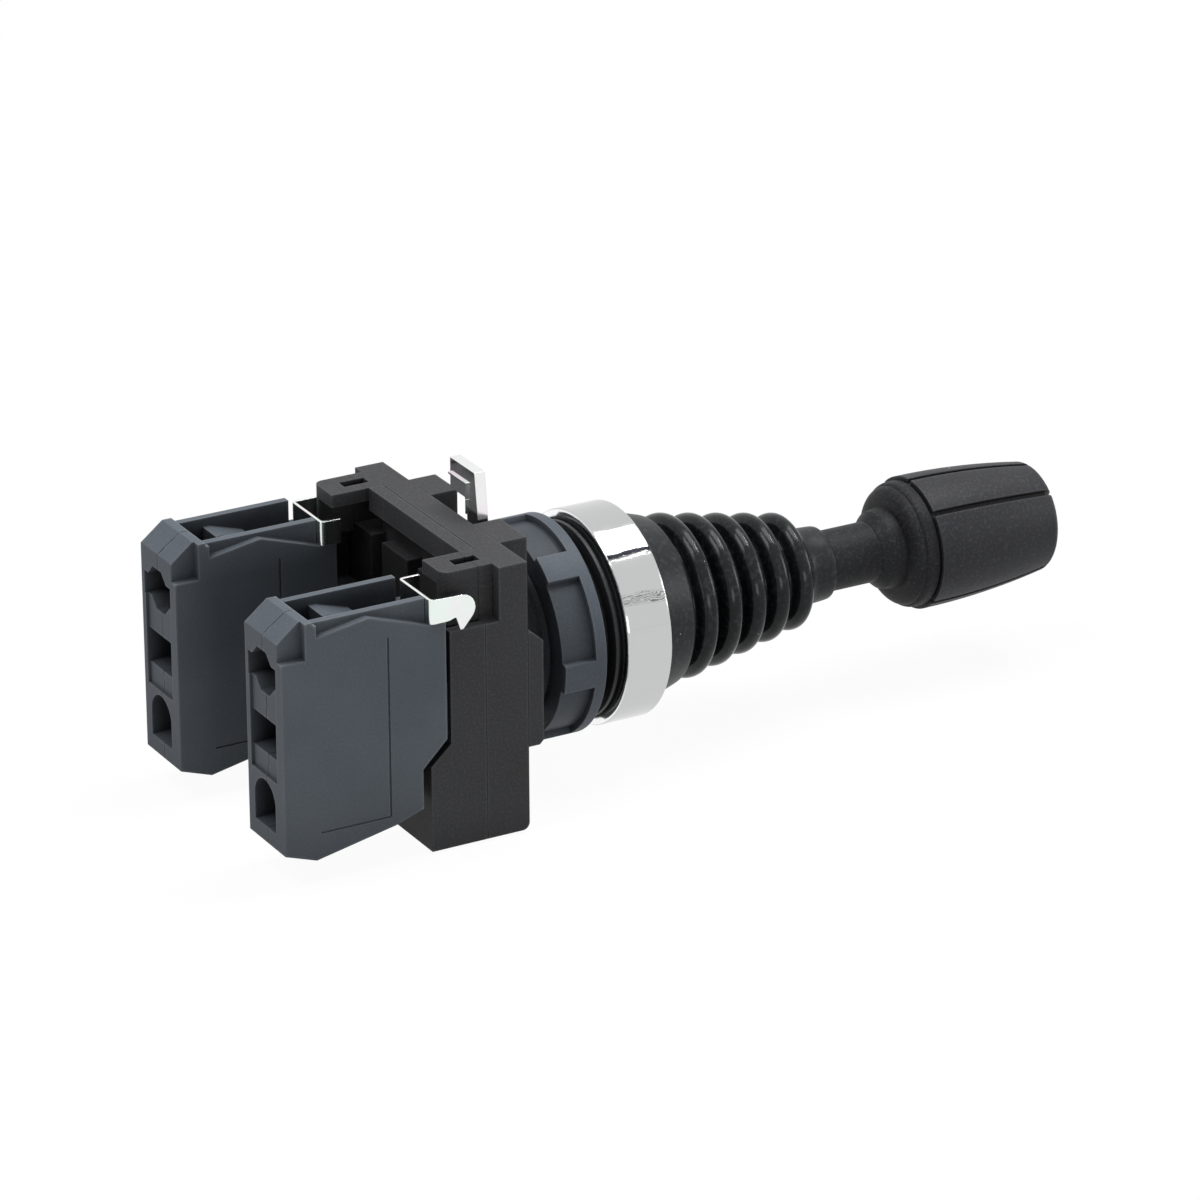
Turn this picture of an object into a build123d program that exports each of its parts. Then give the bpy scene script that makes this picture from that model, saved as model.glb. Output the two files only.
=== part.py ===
from build123d import *
import os
from math import atan2, degrees, hypot, radians, sin

os.makedirs("parts", exist_ok=True)

# A panel joystick with one lever, two directions and two contact blocks. Millimetres.
# +X runs along the barrel towards the grip, +Z is up, +Y is the operator's right.
# x = 0 is the panel seat: the back face of the gasket, which the panel lies against.

# Clearances
fit = 0.05  # between a fixed piece and its seat
run = 0.05  # radial, between a turning or sliding round piece and its bore
slide_gap = 0.12  # between flat faces that slide along each other
touch = 0.05  # between end faces that push each other
ease = 0.3  # beside a loose piece

# Head: barrel, flange, bezel, gasket
barrel_r = 11.0
barrel_wall = 2.0
barrel_len = 19.0  # behind the seat
barrel_chamfer = 0.6
flange_step = 2.4  # from the barrel out to the flange's rim
flange_len = 4.1
gasket_len = 1.1
gasket_inset = 0.2  # the gasket stays inside the flange's rim by this
gasket_groove = 0.7
gasket_rib = 0.5
bezel_wall = 1.05
bezel_len = 6.6
bezel_lip = 0.8
bezel_edge = 0.35
lip_gap = 0.2  # between the bezel's lip and the boot

# Ring nut
panel_gap = 2.1  # free space for the panel, between gasket and nut
nut_wall = 2.8
nut_lug_h = 0.9
nut_flange = 1.7
nut_len = 6.2
nut_lugs = 6
nut_lug_angle = 15.5
nut_lug_start = 36.3
nut_edge = 0.3

# Lever pivot and rocker
pivot_x = 3.2
tilt = 20.0  # degrees each way
pin_r = 1.5
pin_chamfer = 0.25
hub_r = 3.6
hub_half = 6.5
arm_y = 5.8
arm_back = 4.5
nose_r = 1.2
arm_half = 2.5
boss_r = 3.5
boss_len = 9.8
shaft_r = 2.5
shaft_seat = 3.1  # from the pivot to the foot of the shaft
turned_chamfer = 0.4

# Rubber boot
boot_base = 1.5
cone_step = 0.45  # from the rim of the base in to the foot of the cone
cone_len = 5.2  # in front of the bezel
cone_taper = 1.55
folds = 5
fold_x = 2.9  # from the cone's end to the first crest
fold_pitch = 4.1
fold_inset = 0.2  # the first crest stays inside the cone's end by this
fold_step = 0.79
fold_depth = 1.95
boot_wall = 0.8
last_fold_cut = 0.7  # the last fold ends this much sooner
lip_root_r = 5.25
lip_root_wall = 0.9
lip_r = 4.75
lip_len = 4.95
lip_round = 0.2

# Lever sleeve, neck and grip
sleeve_r = 4.15
sleeve_lap = 2.5  # of the sleeve inside the boot's folds
sleeve_len = 7.4  # of the sleeve in front of the boot
neck_cone_len = 1.3
neck_cone_r = 5.3
neck_collar_len = 1.7
neck_collar_r = 5.6
bell_len = 1.6
bell_r = 8.15
ring_len = 0.9
ring_r = 8.6
ring_flat = 0.8
groove_r = 8.2
groove_w = 0.3
grip_r = 9.1
grip_mid_r = 8.75
grip_front_r = 7.6
grip_taper_len = 18.5
grip_nose_len = 1.8
grip_nose_flat = 3.4
flute_depth = 0.7
flute_w = 0.75
core_r = 4.5
core_len = 17.5
core_chamfer = 0.6
shaft_in_grip = 13.5

# Pushers and their guide
push_head_r = 2.8
push_head = 1.5
push_stem_r = 1.9
push_chamfer = 0.3
guide_len = 5.5
push_proud = 2.3  # how far a pusher stands out of the barrel at rest
push_spring_wire = 0.35
push_spring_turns = 5

# Collar: outline
barrel_lap = 2.5  # of the barrel inside the collar
collar_half_w = 19.7
collar_top = 18.6
collar_bottom = -18.5
collar_wall = 1.5
front_wall = 2.5
front_shell_len = 6.1
rear_shell_len = 5.1
foot_reach = 2.9
foot_top = -6.7
foot_slope_top = -4.1
collar_edge = 1.0

# Collar: front plate with its band, ledge and notch
band_depth = 2.2
band_top = 9.2
band_top_slope = 1.8
band_bottom = -7.0
band_chamfer = 0.6
ledge_depth = 3.9
ledge_over = 1.4  # of the ledge beside the barrel
notch_left = -5.3
notch_right = 6.3
notch_web = 0.25  # of the plate between the notch and the barrel's hole
plate_pocket = 1.1

# Collar: arms, bar, shelves and towers
arm_inset = 1.8  # from the collar's side to the arm
arm_w = 5.4
arm_plate = 1.8
arm_lead = 2.0  # the arm's side starts this far before the seam
arm_floor = 11.3
arm_round = 1.3
skirt_lap = 1.5
slot_w = 1.7
slot_before = 1.3  # of the slot before the seam
slot_behind = 2.3
bar_before = 2.4  # of the bar before the seam
bar_w = 2.1
towers = 4  # one for each block place
tower_top = 12.4
tower_half_w = 3.5
shelf = 1.3
back_wall = 1.5

# Locking lever
lock_t = 1.0
lock_leg_t = 1.5
lock_ring_w = 2.0
lock_half_angle = 100.0
lock_dog_len = 2.0
lock_dog_w = 2.0
lock_groove = 0.8
lock_leg_left = -4.6
lock_leg_right = -1.7
lock_leg_lift = 0.9  # of the leg's foot over the barrel
lock_flag_left = -3.8
lock_flag_right = 2.8
lock_flag_bottom = 20.7
lock_flag_top = 24.9
lock_bead = 0.3

# Transfer sliders between the barrel and the contact blocks
slider_t = 2.2
slider_half_h = 3.0
slider_inner = 3.6
slider_chamfer = 0.3

# Contact block: outline
block_half_w = 5.0
block_overhang = 0.3  # the block stands out past the collar's side by this
block_pad = 0.7
block_len = 23.2
block_top = 16.3
block_shoulder = 13.05
shoulder_len = 2.4
block_wall = 1.1
nub_from_back = 3.8
nub_w = 1.3
nub_h = 0.5
back_top = 14.3
back_bottom = -14.2
keel_len = 4.4
keel_z = -15.7
keel_to_front = 7.5
keel_front_z = -13.4
toe_step = 3.5
toe_z = -12.0
toe_top = -6.6
heel_z = -3.1
pad_half_w = 4.0
pad_bottom = -3.0
pad_top = 4.2

# Contact block: pockets, ports and marks
trough_from_back = 4.6
trough_len = 4.7
trough_web_t = 0.9
trough_floor = 12.5
ramp_len = 4.7
ramp_drop = 1.2
side_recess = 1.2
side_recess_floor = 11.9
side_recess_len = 3.4
cheek_depth = 1.1
cheek_low_from_back = 5.0
cheek_low_z = 14.6
cheek_crest_from_back = 12.3
cheek_crest_z = 15.8
mark_w = 0.28
mark_depth = 0.15
mark_from_back = 15.0
mark_len = 9.9
mark_z = -12.0
mark_top = 12.6
port_y = 0.4
port_w = 7.2
port_h = 4.8
port_z = 0.4
port_depth = 4.2
strip_bottom = -4.9
strip_depth = 0.4
entry_z = 9.2
entry_w = 7.6
entry_h = 3.2
entry_tall = 6.0
arch_z = -8.8
arch_w = 5.8
arch_h = 6.4

# Contact block: moving and fixed contacts
plunger_half_w = 3.3
plunger_half_h = 1.8
plunger_chamfer = 0.3
plunger_neck_half = 2.1
plunger_neck_len = 5.0
plunger_proud = 0.1  # the plunger stands out past the block's pad by this
plunger_tail = 5.4  # behind the bridge's front face
plunger_bore_half = 1.9
plunger_bore_wall = 2.0  # from the bridge's front face to the spring's bay
bridge_depth = 9.2  # from the block's front to the bridge
bridge_t = 0.7
bridge_half_w = 1.5
bridge_reach = 8.6
rivet_r = 1.1
rivet_h = 0.5
rivet_edge = 0.3
window_len = 3.2  # before the bridge
contact_gap = 0.15  # left at full stroke
terminal_t = 0.8
terminal_arm = 3.8
terminal_half_w = 3.1
terminal_half_h = 2.5
washer_t = 0.8
washer_half = 2.3
screw_r = 1.5
screw_head_r = 2.5
screw_head = 1.5
screw_tip = 1.6
screw_slot = 0.7
seat_wall = 0.8  # between the middle port and the return spring's seat
spring_wire = 0.3
return_spring_r = 1.5
return_spring_turns = 4
contact_spring_r = 1.2
contact_spring_turns = 3

# Spring clip on each block
clip_t = 0.4
clip_w = 8.65
clip_low = -5.3  # the clip's -y side, from the block's middle
clip_rise = 0.1  # of the clip above the block
clip_short = 2.5
clip_hook_len = 6.15
clip_round = 1.9
clip_cheek = 0.6
clip_tip_back = 1.9
clip_tip_drop = 1.5  # below the clip's foot
clip_tip_w = 0.3
clip_tip_rake = 0.6

# Worked out from the sizes above
stroke = arm_y * radians(tilt)
barrel_bore_r = barrel_r - barrel_wall
flange_r = barrel_r + flange_step
bezel_front = gasket_len + bezel_len
flange_front = gasket_len + flange_len
gasket_r = flange_r - gasket_inset
gasket_neck_r = gasket_r - gasket_groove
bezel_bore_r = flange_r + fit
bezel_r = bezel_bore_r + bezel_wall
cone_r = flange_r - cone_step
bezel_lip_r = cone_r + lip_gap
cone_end_r = cone_r - cone_taper
fold_r = cone_end_r - fold_inset
nut_body_r = barrel_r + nut_wall
nut_r = nut_body_r + nut_lug_h
nut_front = -panel_gap
barrel_end = -barrel_len
nose_x = pivot_x - arm_back
push_front = nose_x - nose_r - touch
push_end = barrel_end - push_proud
guide_front = barrel_end + guide_len
cone_end = bezel_front + cone_len
fold_start = cone_end + fold_x - fold_pitch / 2
fold_stop = fold_start + folds * fold_pitch
lip_start = fold_stop - last_fold_cut
lip_end = lip_start + lip_len
sleeve_start = lip_start - sleeve_lap
sleeve_end = lip_end + sleeve_len
neck_cone_end = sleeve_end + neck_cone_len
bell_start = neck_cone_end + neck_collar_len
ring_start = bell_start + bell_len
ring_front = ring_start + ring_len
neck_end = ring_front + ring_flat + groove_w
grip_shoulder = neck_end + grip_taper_len
grip_end = grip_shoulder + grip_nose_len
core_end = neck_end + core_len
shaft_end = neck_end + shaft_in_grip
collar_front = barrel_end + barrel_lap
band_front = collar_front + band_depth
ledge_front = collar_front + ledge_depth
ledge_half_w = barrel_r + ledge_over
notch_floor = barrel_r + fit + notch_web
shell_inner = collar_front - front_wall  # back face of the front wall
seam_x = collar_front - front_shell_len
arm_end = seam_x - rear_shell_len
foot_end = arm_end - foot_reach
inner_half_w = collar_half_w - collar_wall
arm_outer = collar_half_w - arm_inset
arm_inner = arm_outer - arm_w
arm_side_front = seam_x + arm_lead
bar_front = seam_x + bar_before
bar_back = bar_front - bar_w
lock_back = collar_front + slide_gap / 2
lock_front = lock_back + lock_t
lock_ring_r = barrel_r + lock_ring_w
lock_leg_foot = barrel_r + lock_leg_lift
block_y = collar_half_w + block_overhang - block_half_w
block_front = arm_end - block_pad
block_back = block_front - block_len
block_wall_end = block_front - shoulder_len
slider_front = push_end - touch
slider_back = slider_front - slider_t
plunger_front = arm_end - fit + plunger_proud
slider_end = plunger_front + touch
body_front = plunger_front - plunger_neck_len
bridge_x = block_front - bridge_depth
plunger_end = bridge_x - plunger_tail
plunger_bore_end = bridge_x - plunger_bore_wall
window_front = bridge_x + window_len
bridge_stop = bridge_x - bridge_t - rivet_h - stroke - contact_gap
terminal_x = bridge_stop - terminal_arm
spring_seat = block_back + port_depth + seat_wall
rivet_z = bridge_reach - rivet_r - rivet_edge
clip_x = block_wall_end + clip_t + fit
clip_foot = block_shoulder + fit
clip_top = block_top + clip_rise
clip_hook_x = clip_x + clip_hook_len
sides = {"left": -1, "right": 1}


def finish(piece, name):
    """Label a finished piece and write it under its node's name."""
    piece.part.label = name
    export_step(piece.part, f"parts/{name}.step")


def coil(x_start, x_end, y, radius, wire_r, turns):
    """A compression spring that runs back along X, swept round a helix."""
    base = Plane(origin=(x_start, y, 0), x_dir=(0, 0, 1), z_dir=(-1, 0, 0))
    length = abs(x_end - x_start) - 2 * wire_r
    path = Helix(pitch=length / turns, height=length, radius=radius)
    path = base.offset(wire_r) * path
    with BuildPart() as spring:
        with BuildSketch(Plane(origin=path @ 0, z_dir=path % 0)):
            Circle(wire_r)
        sweep(path=path, is_frenet=True)
    return spring


# Barrel and flange: the body that the panel, the nut and the collar hold
with BuildPart() as head_body:
    with BuildSketch(Plane.XZ):
        with BuildLine():
            Polyline(
                (barrel_end, barrel_bore_r),
                (barrel_end, barrel_r),
                (gasket_len, barrel_r),
                (gasket_len, flange_r),
                (flange_front, flange_r),
                (flange_front, barrel_bore_r),
                close=True,
            )
        make_face()
    revolve(axis=Axis.X)
    chamfer(head_body.faces().sort_by(Axis.X)[0].outer_wire().edges(), barrel_chamfer)
    # groove that the dogs of the locking lever run in
    with BuildSketch(Plane.XZ):
        with Locations((lock_back + lock_t / 2, barrel_r)):
            Rectangle(lock_t + 2 * ease, 2 * lock_groove)
    revolve(axis=Axis.X, mode=Mode.SUBTRACT)
    # cross bore for the pivot pin
    with BuildSketch(Plane.XY):
        with Locations((pivot_x, 0)):
            Circle(pin_r + fit / 2)
    extrude(amount=flange_r, both=True, mode=Mode.SUBTRACT)
finish(head_body, "head_body")

# Chromed ring over the flange, turned in at the front to hold the boot
with BuildPart() as bezel:
    with BuildSketch(Plane.XZ):
        with BuildLine():
            Polyline(
                (gasket_len, bezel_bore_r),
                (gasket_len, bezel_r),
                (bezel_front, bezel_r),
                (bezel_front, bezel_lip_r),
                (bezel_front - bezel_lip, bezel_lip_r),
                (bezel_front - bezel_lip, bezel_bore_r),
                close=True,
            )
        make_face()
    revolve(axis=Axis.X)
    rims = bezel.edges().filter_by(GeomType.CIRCLE).filter_by(lambda e: abs(e.radius - bezel_r) < 0.01)
    fillet(rims, bezel_edge)
finish(bezel, "bezel")

# Rubber gasket between the flange and the panel, with a rib round its back edge
with BuildPart() as panel_gasket:
    with BuildSketch(Plane.XZ):
        with BuildLine():
            Polyline(
                (0, barrel_r + fit),
                (0, gasket_r),
                (gasket_rib, gasket_r),
                (gasket_rib, gasket_neck_r),
                (gasket_len, gasket_neck_r),
                (gasket_len, barrel_r + fit),
                close=True,
            )
        make_face()
    revolve(axis=Axis.X)
finish(panel_gasket, "panel_gasket")

# Ring nut: a flange towards the panel and a body with lugs for a spanner
with BuildPart() as ring_nut:
    with BuildSketch(Plane.YZ.offset(nut_front)):
        Circle(nut_r)
    extrude(amount=-nut_flange)
    with BuildSketch(Plane.YZ.offset(nut_front)):
        Circle(nut_body_r)
    extrude(amount=-nut_len)
    with BuildSketch(Plane.YZ.offset(nut_front - nut_flange)):
        lug_w = 2 * nut_r * sin(radians(nut_lug_angle / 2))
        with PolarLocations(nut_r / 2, nut_lugs, start_angle=90 + nut_lug_start):
            Rectangle(nut_r, lug_w)
        Circle(nut_r, mode=Mode.INTERSECT)
    extrude(amount=nut_flange - nut_len)
    fillet(ring_nut.faces().sort_by(Axis.X)[-1].outer_wire().edges(), nut_edge)
    with BuildSketch(Plane.YZ.offset(nut_front)):
        Circle(barrel_r + run)
    extrude(amount=-nut_len, mode=Mode.SUBTRACT)
finish(ring_nut, "ring_nut")

# Steel pin across the flange that the rocker turns on
with BuildPart() as pivot_pin:
    with BuildSketch(Plane.XY.offset(fit - flange_r)):
        with Locations((pivot_x, 0)):
            Circle(pin_r)
    extrude(amount=2 * (flange_r - fit))
    chamfer(pivot_pin.edges().filter_by(GeomType.CIRCLE), pin_chamfer)
finish(pivot_pin, "pivot_pin")

# Rocker: hub on the pin, one arm to each pusher, and a socket for the lever shaft
with BuildPart() as rocker:
    with BuildSketch(Plane.XY):
        with Locations((pivot_x, 0)):
            Circle(hub_r)
    extrude(amount=hub_half, both=True)
    arm_len = hypot(arm_back, arm_y)
    for sign in sides.values():
        with BuildSketch(Plane.XY):
            with Locations(((pivot_x + nose_x) / 2, sign * arm_y / 2)):
                turn = degrees(atan2(sign * arm_y, -arm_back))
                SlotCenterToCenter(arm_len, 2 * nose_r, rotation=turn)
        extrude(amount=arm_half, both=True)
    with BuildSketch(Plane.YZ.offset(pivot_x)):
        Circle(boss_r)
    extrude(amount=boss_len)
    chamfer(rocker.faces().sort_by(Axis.X)[-1].edges(), turned_chamfer)
    with BuildSketch(Plane.YZ.offset(pivot_x + shaft_seat)):
        Circle(shaft_r + fit)
    extrude(amount=boss_len, mode=Mode.SUBTRACT)
    with BuildSketch(Plane.XY):
        with Locations((pivot_x, 0)):
            Circle(pin_r + run)
    extrude(amount=hub_half, both=True, mode=Mode.SUBTRACT)
finish(rocker, "rocker")

# Steel shaft from the rocker up into the grip
with BuildPart() as lever_shaft:
    with BuildSketch(Plane.YZ.offset(pivot_x + shaft_seat)):
        Circle(shaft_r)
    extrude(amount=shaft_end - pivot_x - shaft_seat)
    chamfer(lever_shaft.edges().filter_by(GeomType.CIRCLE), turned_chamfer)
finish(lever_shaft, "lever_shaft")

# Boot: base held under the bezel, a cone, the folds, and a lip round the sleeve
with BuildPart() as boot:
    with BuildSketch(Plane.XZ):
        valleys = [fold_r + fold_step / 2 - fold_depth - fold_step * i for i in range(folds)]
        base_front = flange_front + boot_base
        with BuildLine():
            Polyline(
                (flange_front, valleys[0] - boot_wall),
                (flange_front, flange_r),
                (base_front, flange_r),
                (base_front, cone_r),
                (bezel_front, cone_r),
                (cone_end, cone_end_r),
                (fold_start, valleys[0]),
            )
            for i in range(folds):
                crest = (fold_start + (i + 0.5) * fold_pitch, fold_r - i * fold_step)
                left = (fold_start + i * fold_pitch, valleys[i])
                right = (lip_start, lip_root_r)
                if i < folds - 1:
                    right = (fold_start + (i + 1) * fold_pitch, valleys[i + 1])
                ThreePointArc(left, crest, right)
            Polyline(
                (lip_start, lip_root_r),
                (lip_end, lip_r),
                (lip_end, sleeve_r + fit),
                (lip_start + boot_wall, sleeve_r + fit),
                (lip_start, lip_root_r - lip_root_wall),
                (fold_start, valleys[0] - boot_wall),
                (flange_front, valleys[0] - boot_wall),
            )
        make_face()
    revolve(axis=Axis.X)
    fillet(boot.faces().sort_by(Axis.X)[-1].outer_wire().edges(), lip_round)
finish(boot, "boot")

# Plastic sleeve on the shaft, which the boot's lip grips
with BuildPart() as lever_sleeve:
    with BuildSketch(Plane.YZ.offset(sleeve_start)):
        Circle(sleeve_r)
        Circle(shaft_r + fit, mode=Mode.SUBTRACT)
    extrude(amount=sleeve_end - sleeve_start)
finish(lever_sleeve, "lever_sleeve")

# Neck: a coned collar, a bell and a ring, each wider than the last
with BuildPart() as grip_neck:
    with BuildSketch(Plane.XZ):
        with BuildLine():
            Polyline(
                (sleeve_end, shaft_r + fit),
                (sleeve_end, sleeve_r),
                (neck_cone_end, neck_cone_r),
                (bell_start, neck_collar_r),
            )
            foot = (bell_start, neck_collar_r)
            for top in ((ring_start, bell_r), (ring_front, ring_r)):
                centre = (top[0], foot[1])
                EllipticalCenterArc(centre, top[0] - foot[0], top[1] - foot[1], 180, arc_size=-90)
                foot = top
            Polyline(
                (ring_front, ring_r),
                (ring_front + ring_flat, ring_r),
                (ring_front + ring_flat, groove_r),
                (neck_end, groove_r),
                (neck_end, shaft_r + fit),
                (sleeve_end, shaft_r + fit),
            )
        make_face()
    revolve(axis=Axis.X)
finish(grip_neck, "grip_neck")


def grip_profile(inset):
    """Half outline of the grip, from its back edge over the taper to the nose."""
    front_r = grip_front_r - inset
    end = grip_end - inset
    with BuildSketch(Plane.XZ) as outline:
        with BuildLine():
            Line((neck_end, 0), (neck_end, grip_r - inset))
            ThreePointArc(
                (neck_end, grip_r - inset),
                ((neck_end + grip_shoulder) / 2, grip_mid_r - inset),
                (grip_shoulder, front_r),
            )
            nose_h = front_r - grip_nose_flat
            nose_centre = (grip_shoulder, grip_nose_flat)
            EllipticalCenterArc(nose_centre, end - grip_shoulder, nose_h, 90, arc_size=-90)
            Polyline((end, grip_nose_flat), (end, 0), (neck_end, 0))
        make_face()
    return outline.sketch


# Grip: a tapered handle cut by six flutes, on a bore for the insert
with BuildPart() as grip_skin:
    add(grip_profile(0))
    revolve(axis=Axis.X)
    for start in (45, 225):
        with BuildSketch(Plane.YZ.offset(neck_end)):
            with PolarLocations(grip_r, 3, start_angle=start, angular_range=90, endpoint=True):
                Rectangle(grip_r, flute_w)
        extrude(amount=grip_end - neck_end, mode=Mode.SUBTRACT)
with BuildPart() as grip:
    add(grip_profile(flute_depth))
    revolve(axis=Axis.X)
    add(grip_skin.part)
    with BuildSketch(Plane.YZ.offset(neck_end)):
        Circle(core_r + fit)
    extrude(amount=core_end - neck_end + fit, mode=Mode.SUBTRACT)
finish(grip, "grip")

# Metal insert that joins the grip to the shaft
with BuildPart() as grip_insert:
    with BuildSketch(Plane.YZ.offset(neck_end)):
        Circle(core_r)
    extrude(amount=core_end - neck_end)
    chamfer(grip_insert.faces().sort_by(Axis.X)[-1].edges(), core_chamfer)
    with BuildSketch(Plane.YZ.offset(neck_end)):
        Circle(shaft_r + fit)
    extrude(amount=shaft_end - neck_end + ease, mode=Mode.SUBTRACT)
finish(grip_insert, "grip_insert")

# Guide plug in the end of the barrel, bored for the two pushers
with BuildPart() as guide_plug:
    with BuildSketch(Plane.YZ.offset(barrel_end)):
        Circle(barrel_bore_r - fit)
        with Locations((-arm_y, 0), (arm_y, 0)):
            Circle(push_stem_r + run, mode=Mode.SUBTRACT)
    extrude(amount=guide_len)
    chamfer(guide_plug.faces().sort_by(Axis.X)[-1].outer_wire().edges(), turned_chamfer)
finish(guide_plug, "guide_plug")

# Pushers, their springs and the transfer sliders behind them, one set a side
for side, sign in sides.items():
    with BuildPart() as pusher:
        with BuildSketch(Plane.YZ.offset(push_front)):
            with Locations((sign * arm_y, 0)):
                Circle(push_head_r)
        extrude(amount=-push_head)
        with BuildSketch(Plane.YZ.offset(push_front - push_head)):
            with Locations((sign * arm_y, 0)):
                Circle(push_stem_r)
        extrude(amount=push_end - push_front + push_head)
        chamfer(pusher.faces().sort_by(Axis.X)[0].edges(), push_chamfer)
    finish(pusher, f"{side}_pusher")

    spring_r = push_stem_r + run + push_spring_wire
    pusher_spring = coil(
        push_front - push_head, guide_front, sign * arm_y, spring_r, push_spring_wire / 2,
        push_spring_turns
    )
    finish(pusher_spring, f"{side}_pusher_spring")

    slider_outer = inner_half_w - slide_gap
    with BuildPart() as slider:
        with BuildSketch(Plane.YZ.offset(slider_front)):
            with Locations((sign * (slider_inner + slider_outer) / 2, 0)):
                Rectangle(slider_outer - slider_inner, 2 * slider_half_h)
        extrude(amount=-slider_t)
        with BuildSketch(Plane.YZ.offset(slider_back)):
            with Locations((sign * block_y, 0)):
                Rectangle(2 * plunger_neck_half, 2 * plunger_half_h)
        extrude(amount=slider_end - slider_back)
        chamfer(slider.faces().sort_by(Axis.X)[0].edges(), slider_chamfer)
    finish(slider, f"{side}_slider")

# Front plate of the collar: a wide band, the ledge on top and the notch for the lever
with BuildPart() as collar_plate:
    with BuildSketch(Plane.XZ):
        with BuildLine():
            Polyline(
                (collar_front, band_bottom),
                (band_front - band_chamfer, band_bottom),
                (band_front, band_bottom + band_chamfer),
                (band_front, band_top - band_top_slope),
                (collar_front, band_top),
                close=True,
            )
        make_face()
    extrude(amount=collar_half_w, both=True)
    ledge_bottom = band_top - band_top_slope
    with BuildSketch(Plane.YZ.offset(collar_front)):
        with Locations((0, (collar_top + ledge_bottom) / 2)):
            Rectangle(2 * ledge_half_w, collar_top - ledge_bottom)
    extrude(amount=ledge_front - collar_front)
    with BuildSketch(Plane.YZ.offset(ledge_front)):
        Circle(barrel_r + fit)
    extrude(amount=collar_front - ledge_front, mode=Mode.SUBTRACT)
    # pocket in the back for the ring of the locking lever
    with BuildSketch(Plane.YZ.offset(collar_front)):
        Circle(lock_ring_r + ease)
    extrude(amount=plate_pocket, mode=Mode.SUBTRACT)
    with BuildSketch(Plane.YZ.offset(collar_front)):
        with Locations(((notch_left + notch_right) / 2, (collar_top + notch_floor) / 2)):
            Rectangle(notch_right - notch_left, collar_top - notch_floor)
    extrude(amount=ledge_front - collar_front, mode=Mode.SUBTRACT)
finish(collar_plate, "collar_plate")

# Front shell of the collar: bored for the barrel, hollow behind, with an arm each side
with BuildPart() as collar_front_shell:
    with BuildSketch(Plane.XY.offset(collar_bottom)):
        with Locations(((seam_x + collar_front) / 2, 0)):
            Rectangle(collar_front - seam_x, 2 * collar_half_w)
    extrude(amount=collar_top - collar_bottom)
    low_edge = collar_front_shell.edges().filter_by(Axis.Y).group_by(Axis.X)[-1].sort_by(Axis.Z)[0]
    fillet(low_edge, collar_edge)
    # hollow behind the front wall
    with BuildSketch(Plane.YZ.offset(seam_x)):
        with Locations((0, (collar_top + collar_bottom) / 2)):
            Rectangle(2 * inner_half_w, collar_top - collar_bottom - 2 * arm_plate)
    extrude(amount=shell_inner - seam_x, mode=Mode.SUBTRACT)
    # recess down the outer side of each arm
    with BuildSketch(Plane.XY.offset(arm_floor)):
        recess_mid = (collar_half_w + arm_outer) / 2
        with Locations(*[((seam_x + arm_side_front) / 2, s * recess_mid) for s in sides.values()]):
            Rectangle(arm_side_front - seam_x, collar_half_w - arm_outer)
    extrude(amount=collar_top - arm_floor, mode=Mode.SUBTRACT)
    # skirts that close the recess inside the hollow
    with BuildSketch(Plane.XY.offset(collar_top)):
        skirt_y = arm_outer - skirt_lap / 2
        with Locations(*[((seam_x + shell_inner) / 2, s * skirt_y) for s in sides.values()]):
            Rectangle(shell_inner - seam_x, skirt_lap)
    extrude(amount=arm_floor - skirt_lap - collar_top)
    with BuildSketch(Plane.XY.offset(arm_floor)):
        with Locations(*[((seam_x + shell_inner) / 2, s * inner_half_w) for s in sides.values()]):
            Rectangle(shell_inner - seam_x, collar_wall)
    extrude(amount=-skirt_lap)
    # arms back over the contact blocks, each a top plate with a skirt on its outer side
    for sign in sides.values():
        with BuildSketch(Plane.XY.offset(collar_top)):
            with Locations(((seam_x + arm_end) / 2, sign * (arm_inner + arm_outer) / 2)):
                Rectangle(seam_x - arm_end, arm_outer - arm_inner)
        extrude(amount=-arm_plate)
        with BuildSketch(Plane.XY.offset(collar_top)):
            with Locations(((seam_x + arm_end) / 2, sign * (arm_outer - collar_wall / 2))):
                Rectangle(seam_x - arm_end, collar_wall)
        extrude(amount=arm_floor + fit - collar_top)
    ends = collar_front_shell.edges().filter_by(Axis.Z).group_by(Axis.X)[0].sort_by(Axis.Y)
    fillet([ends[0], ends[-1]], arm_round)
    # opening in the top for the bar of the rear shell, and slots through the arms
    with BuildSketch(Plane.XY.offset(collar_top)):
        with Locations(((arm_end + bar_front) / 2, 0)):
            Rectangle(bar_front - arm_end, 2 * arm_inner)
        slot_x = seam_x + (slot_before - slot_behind) / 2
        slot_y = (arm_inner + arm_outer) / 2
        with Locations(*[(slot_x, s * slot_y) for s in sides.values()]):
            Rectangle(slot_before + slot_behind, slot_w)
    extrude(amount=-arm_plate, mode=Mode.SUBTRACT)
    # bore for the barrel
    with BuildSketch(Plane.YZ.offset(collar_front)):
        Circle(barrel_r + fit)
    extrude(amount=seam_x - collar_front, mode=Mode.SUBTRACT)
finish(collar_front_shell, "collar_front")

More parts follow.
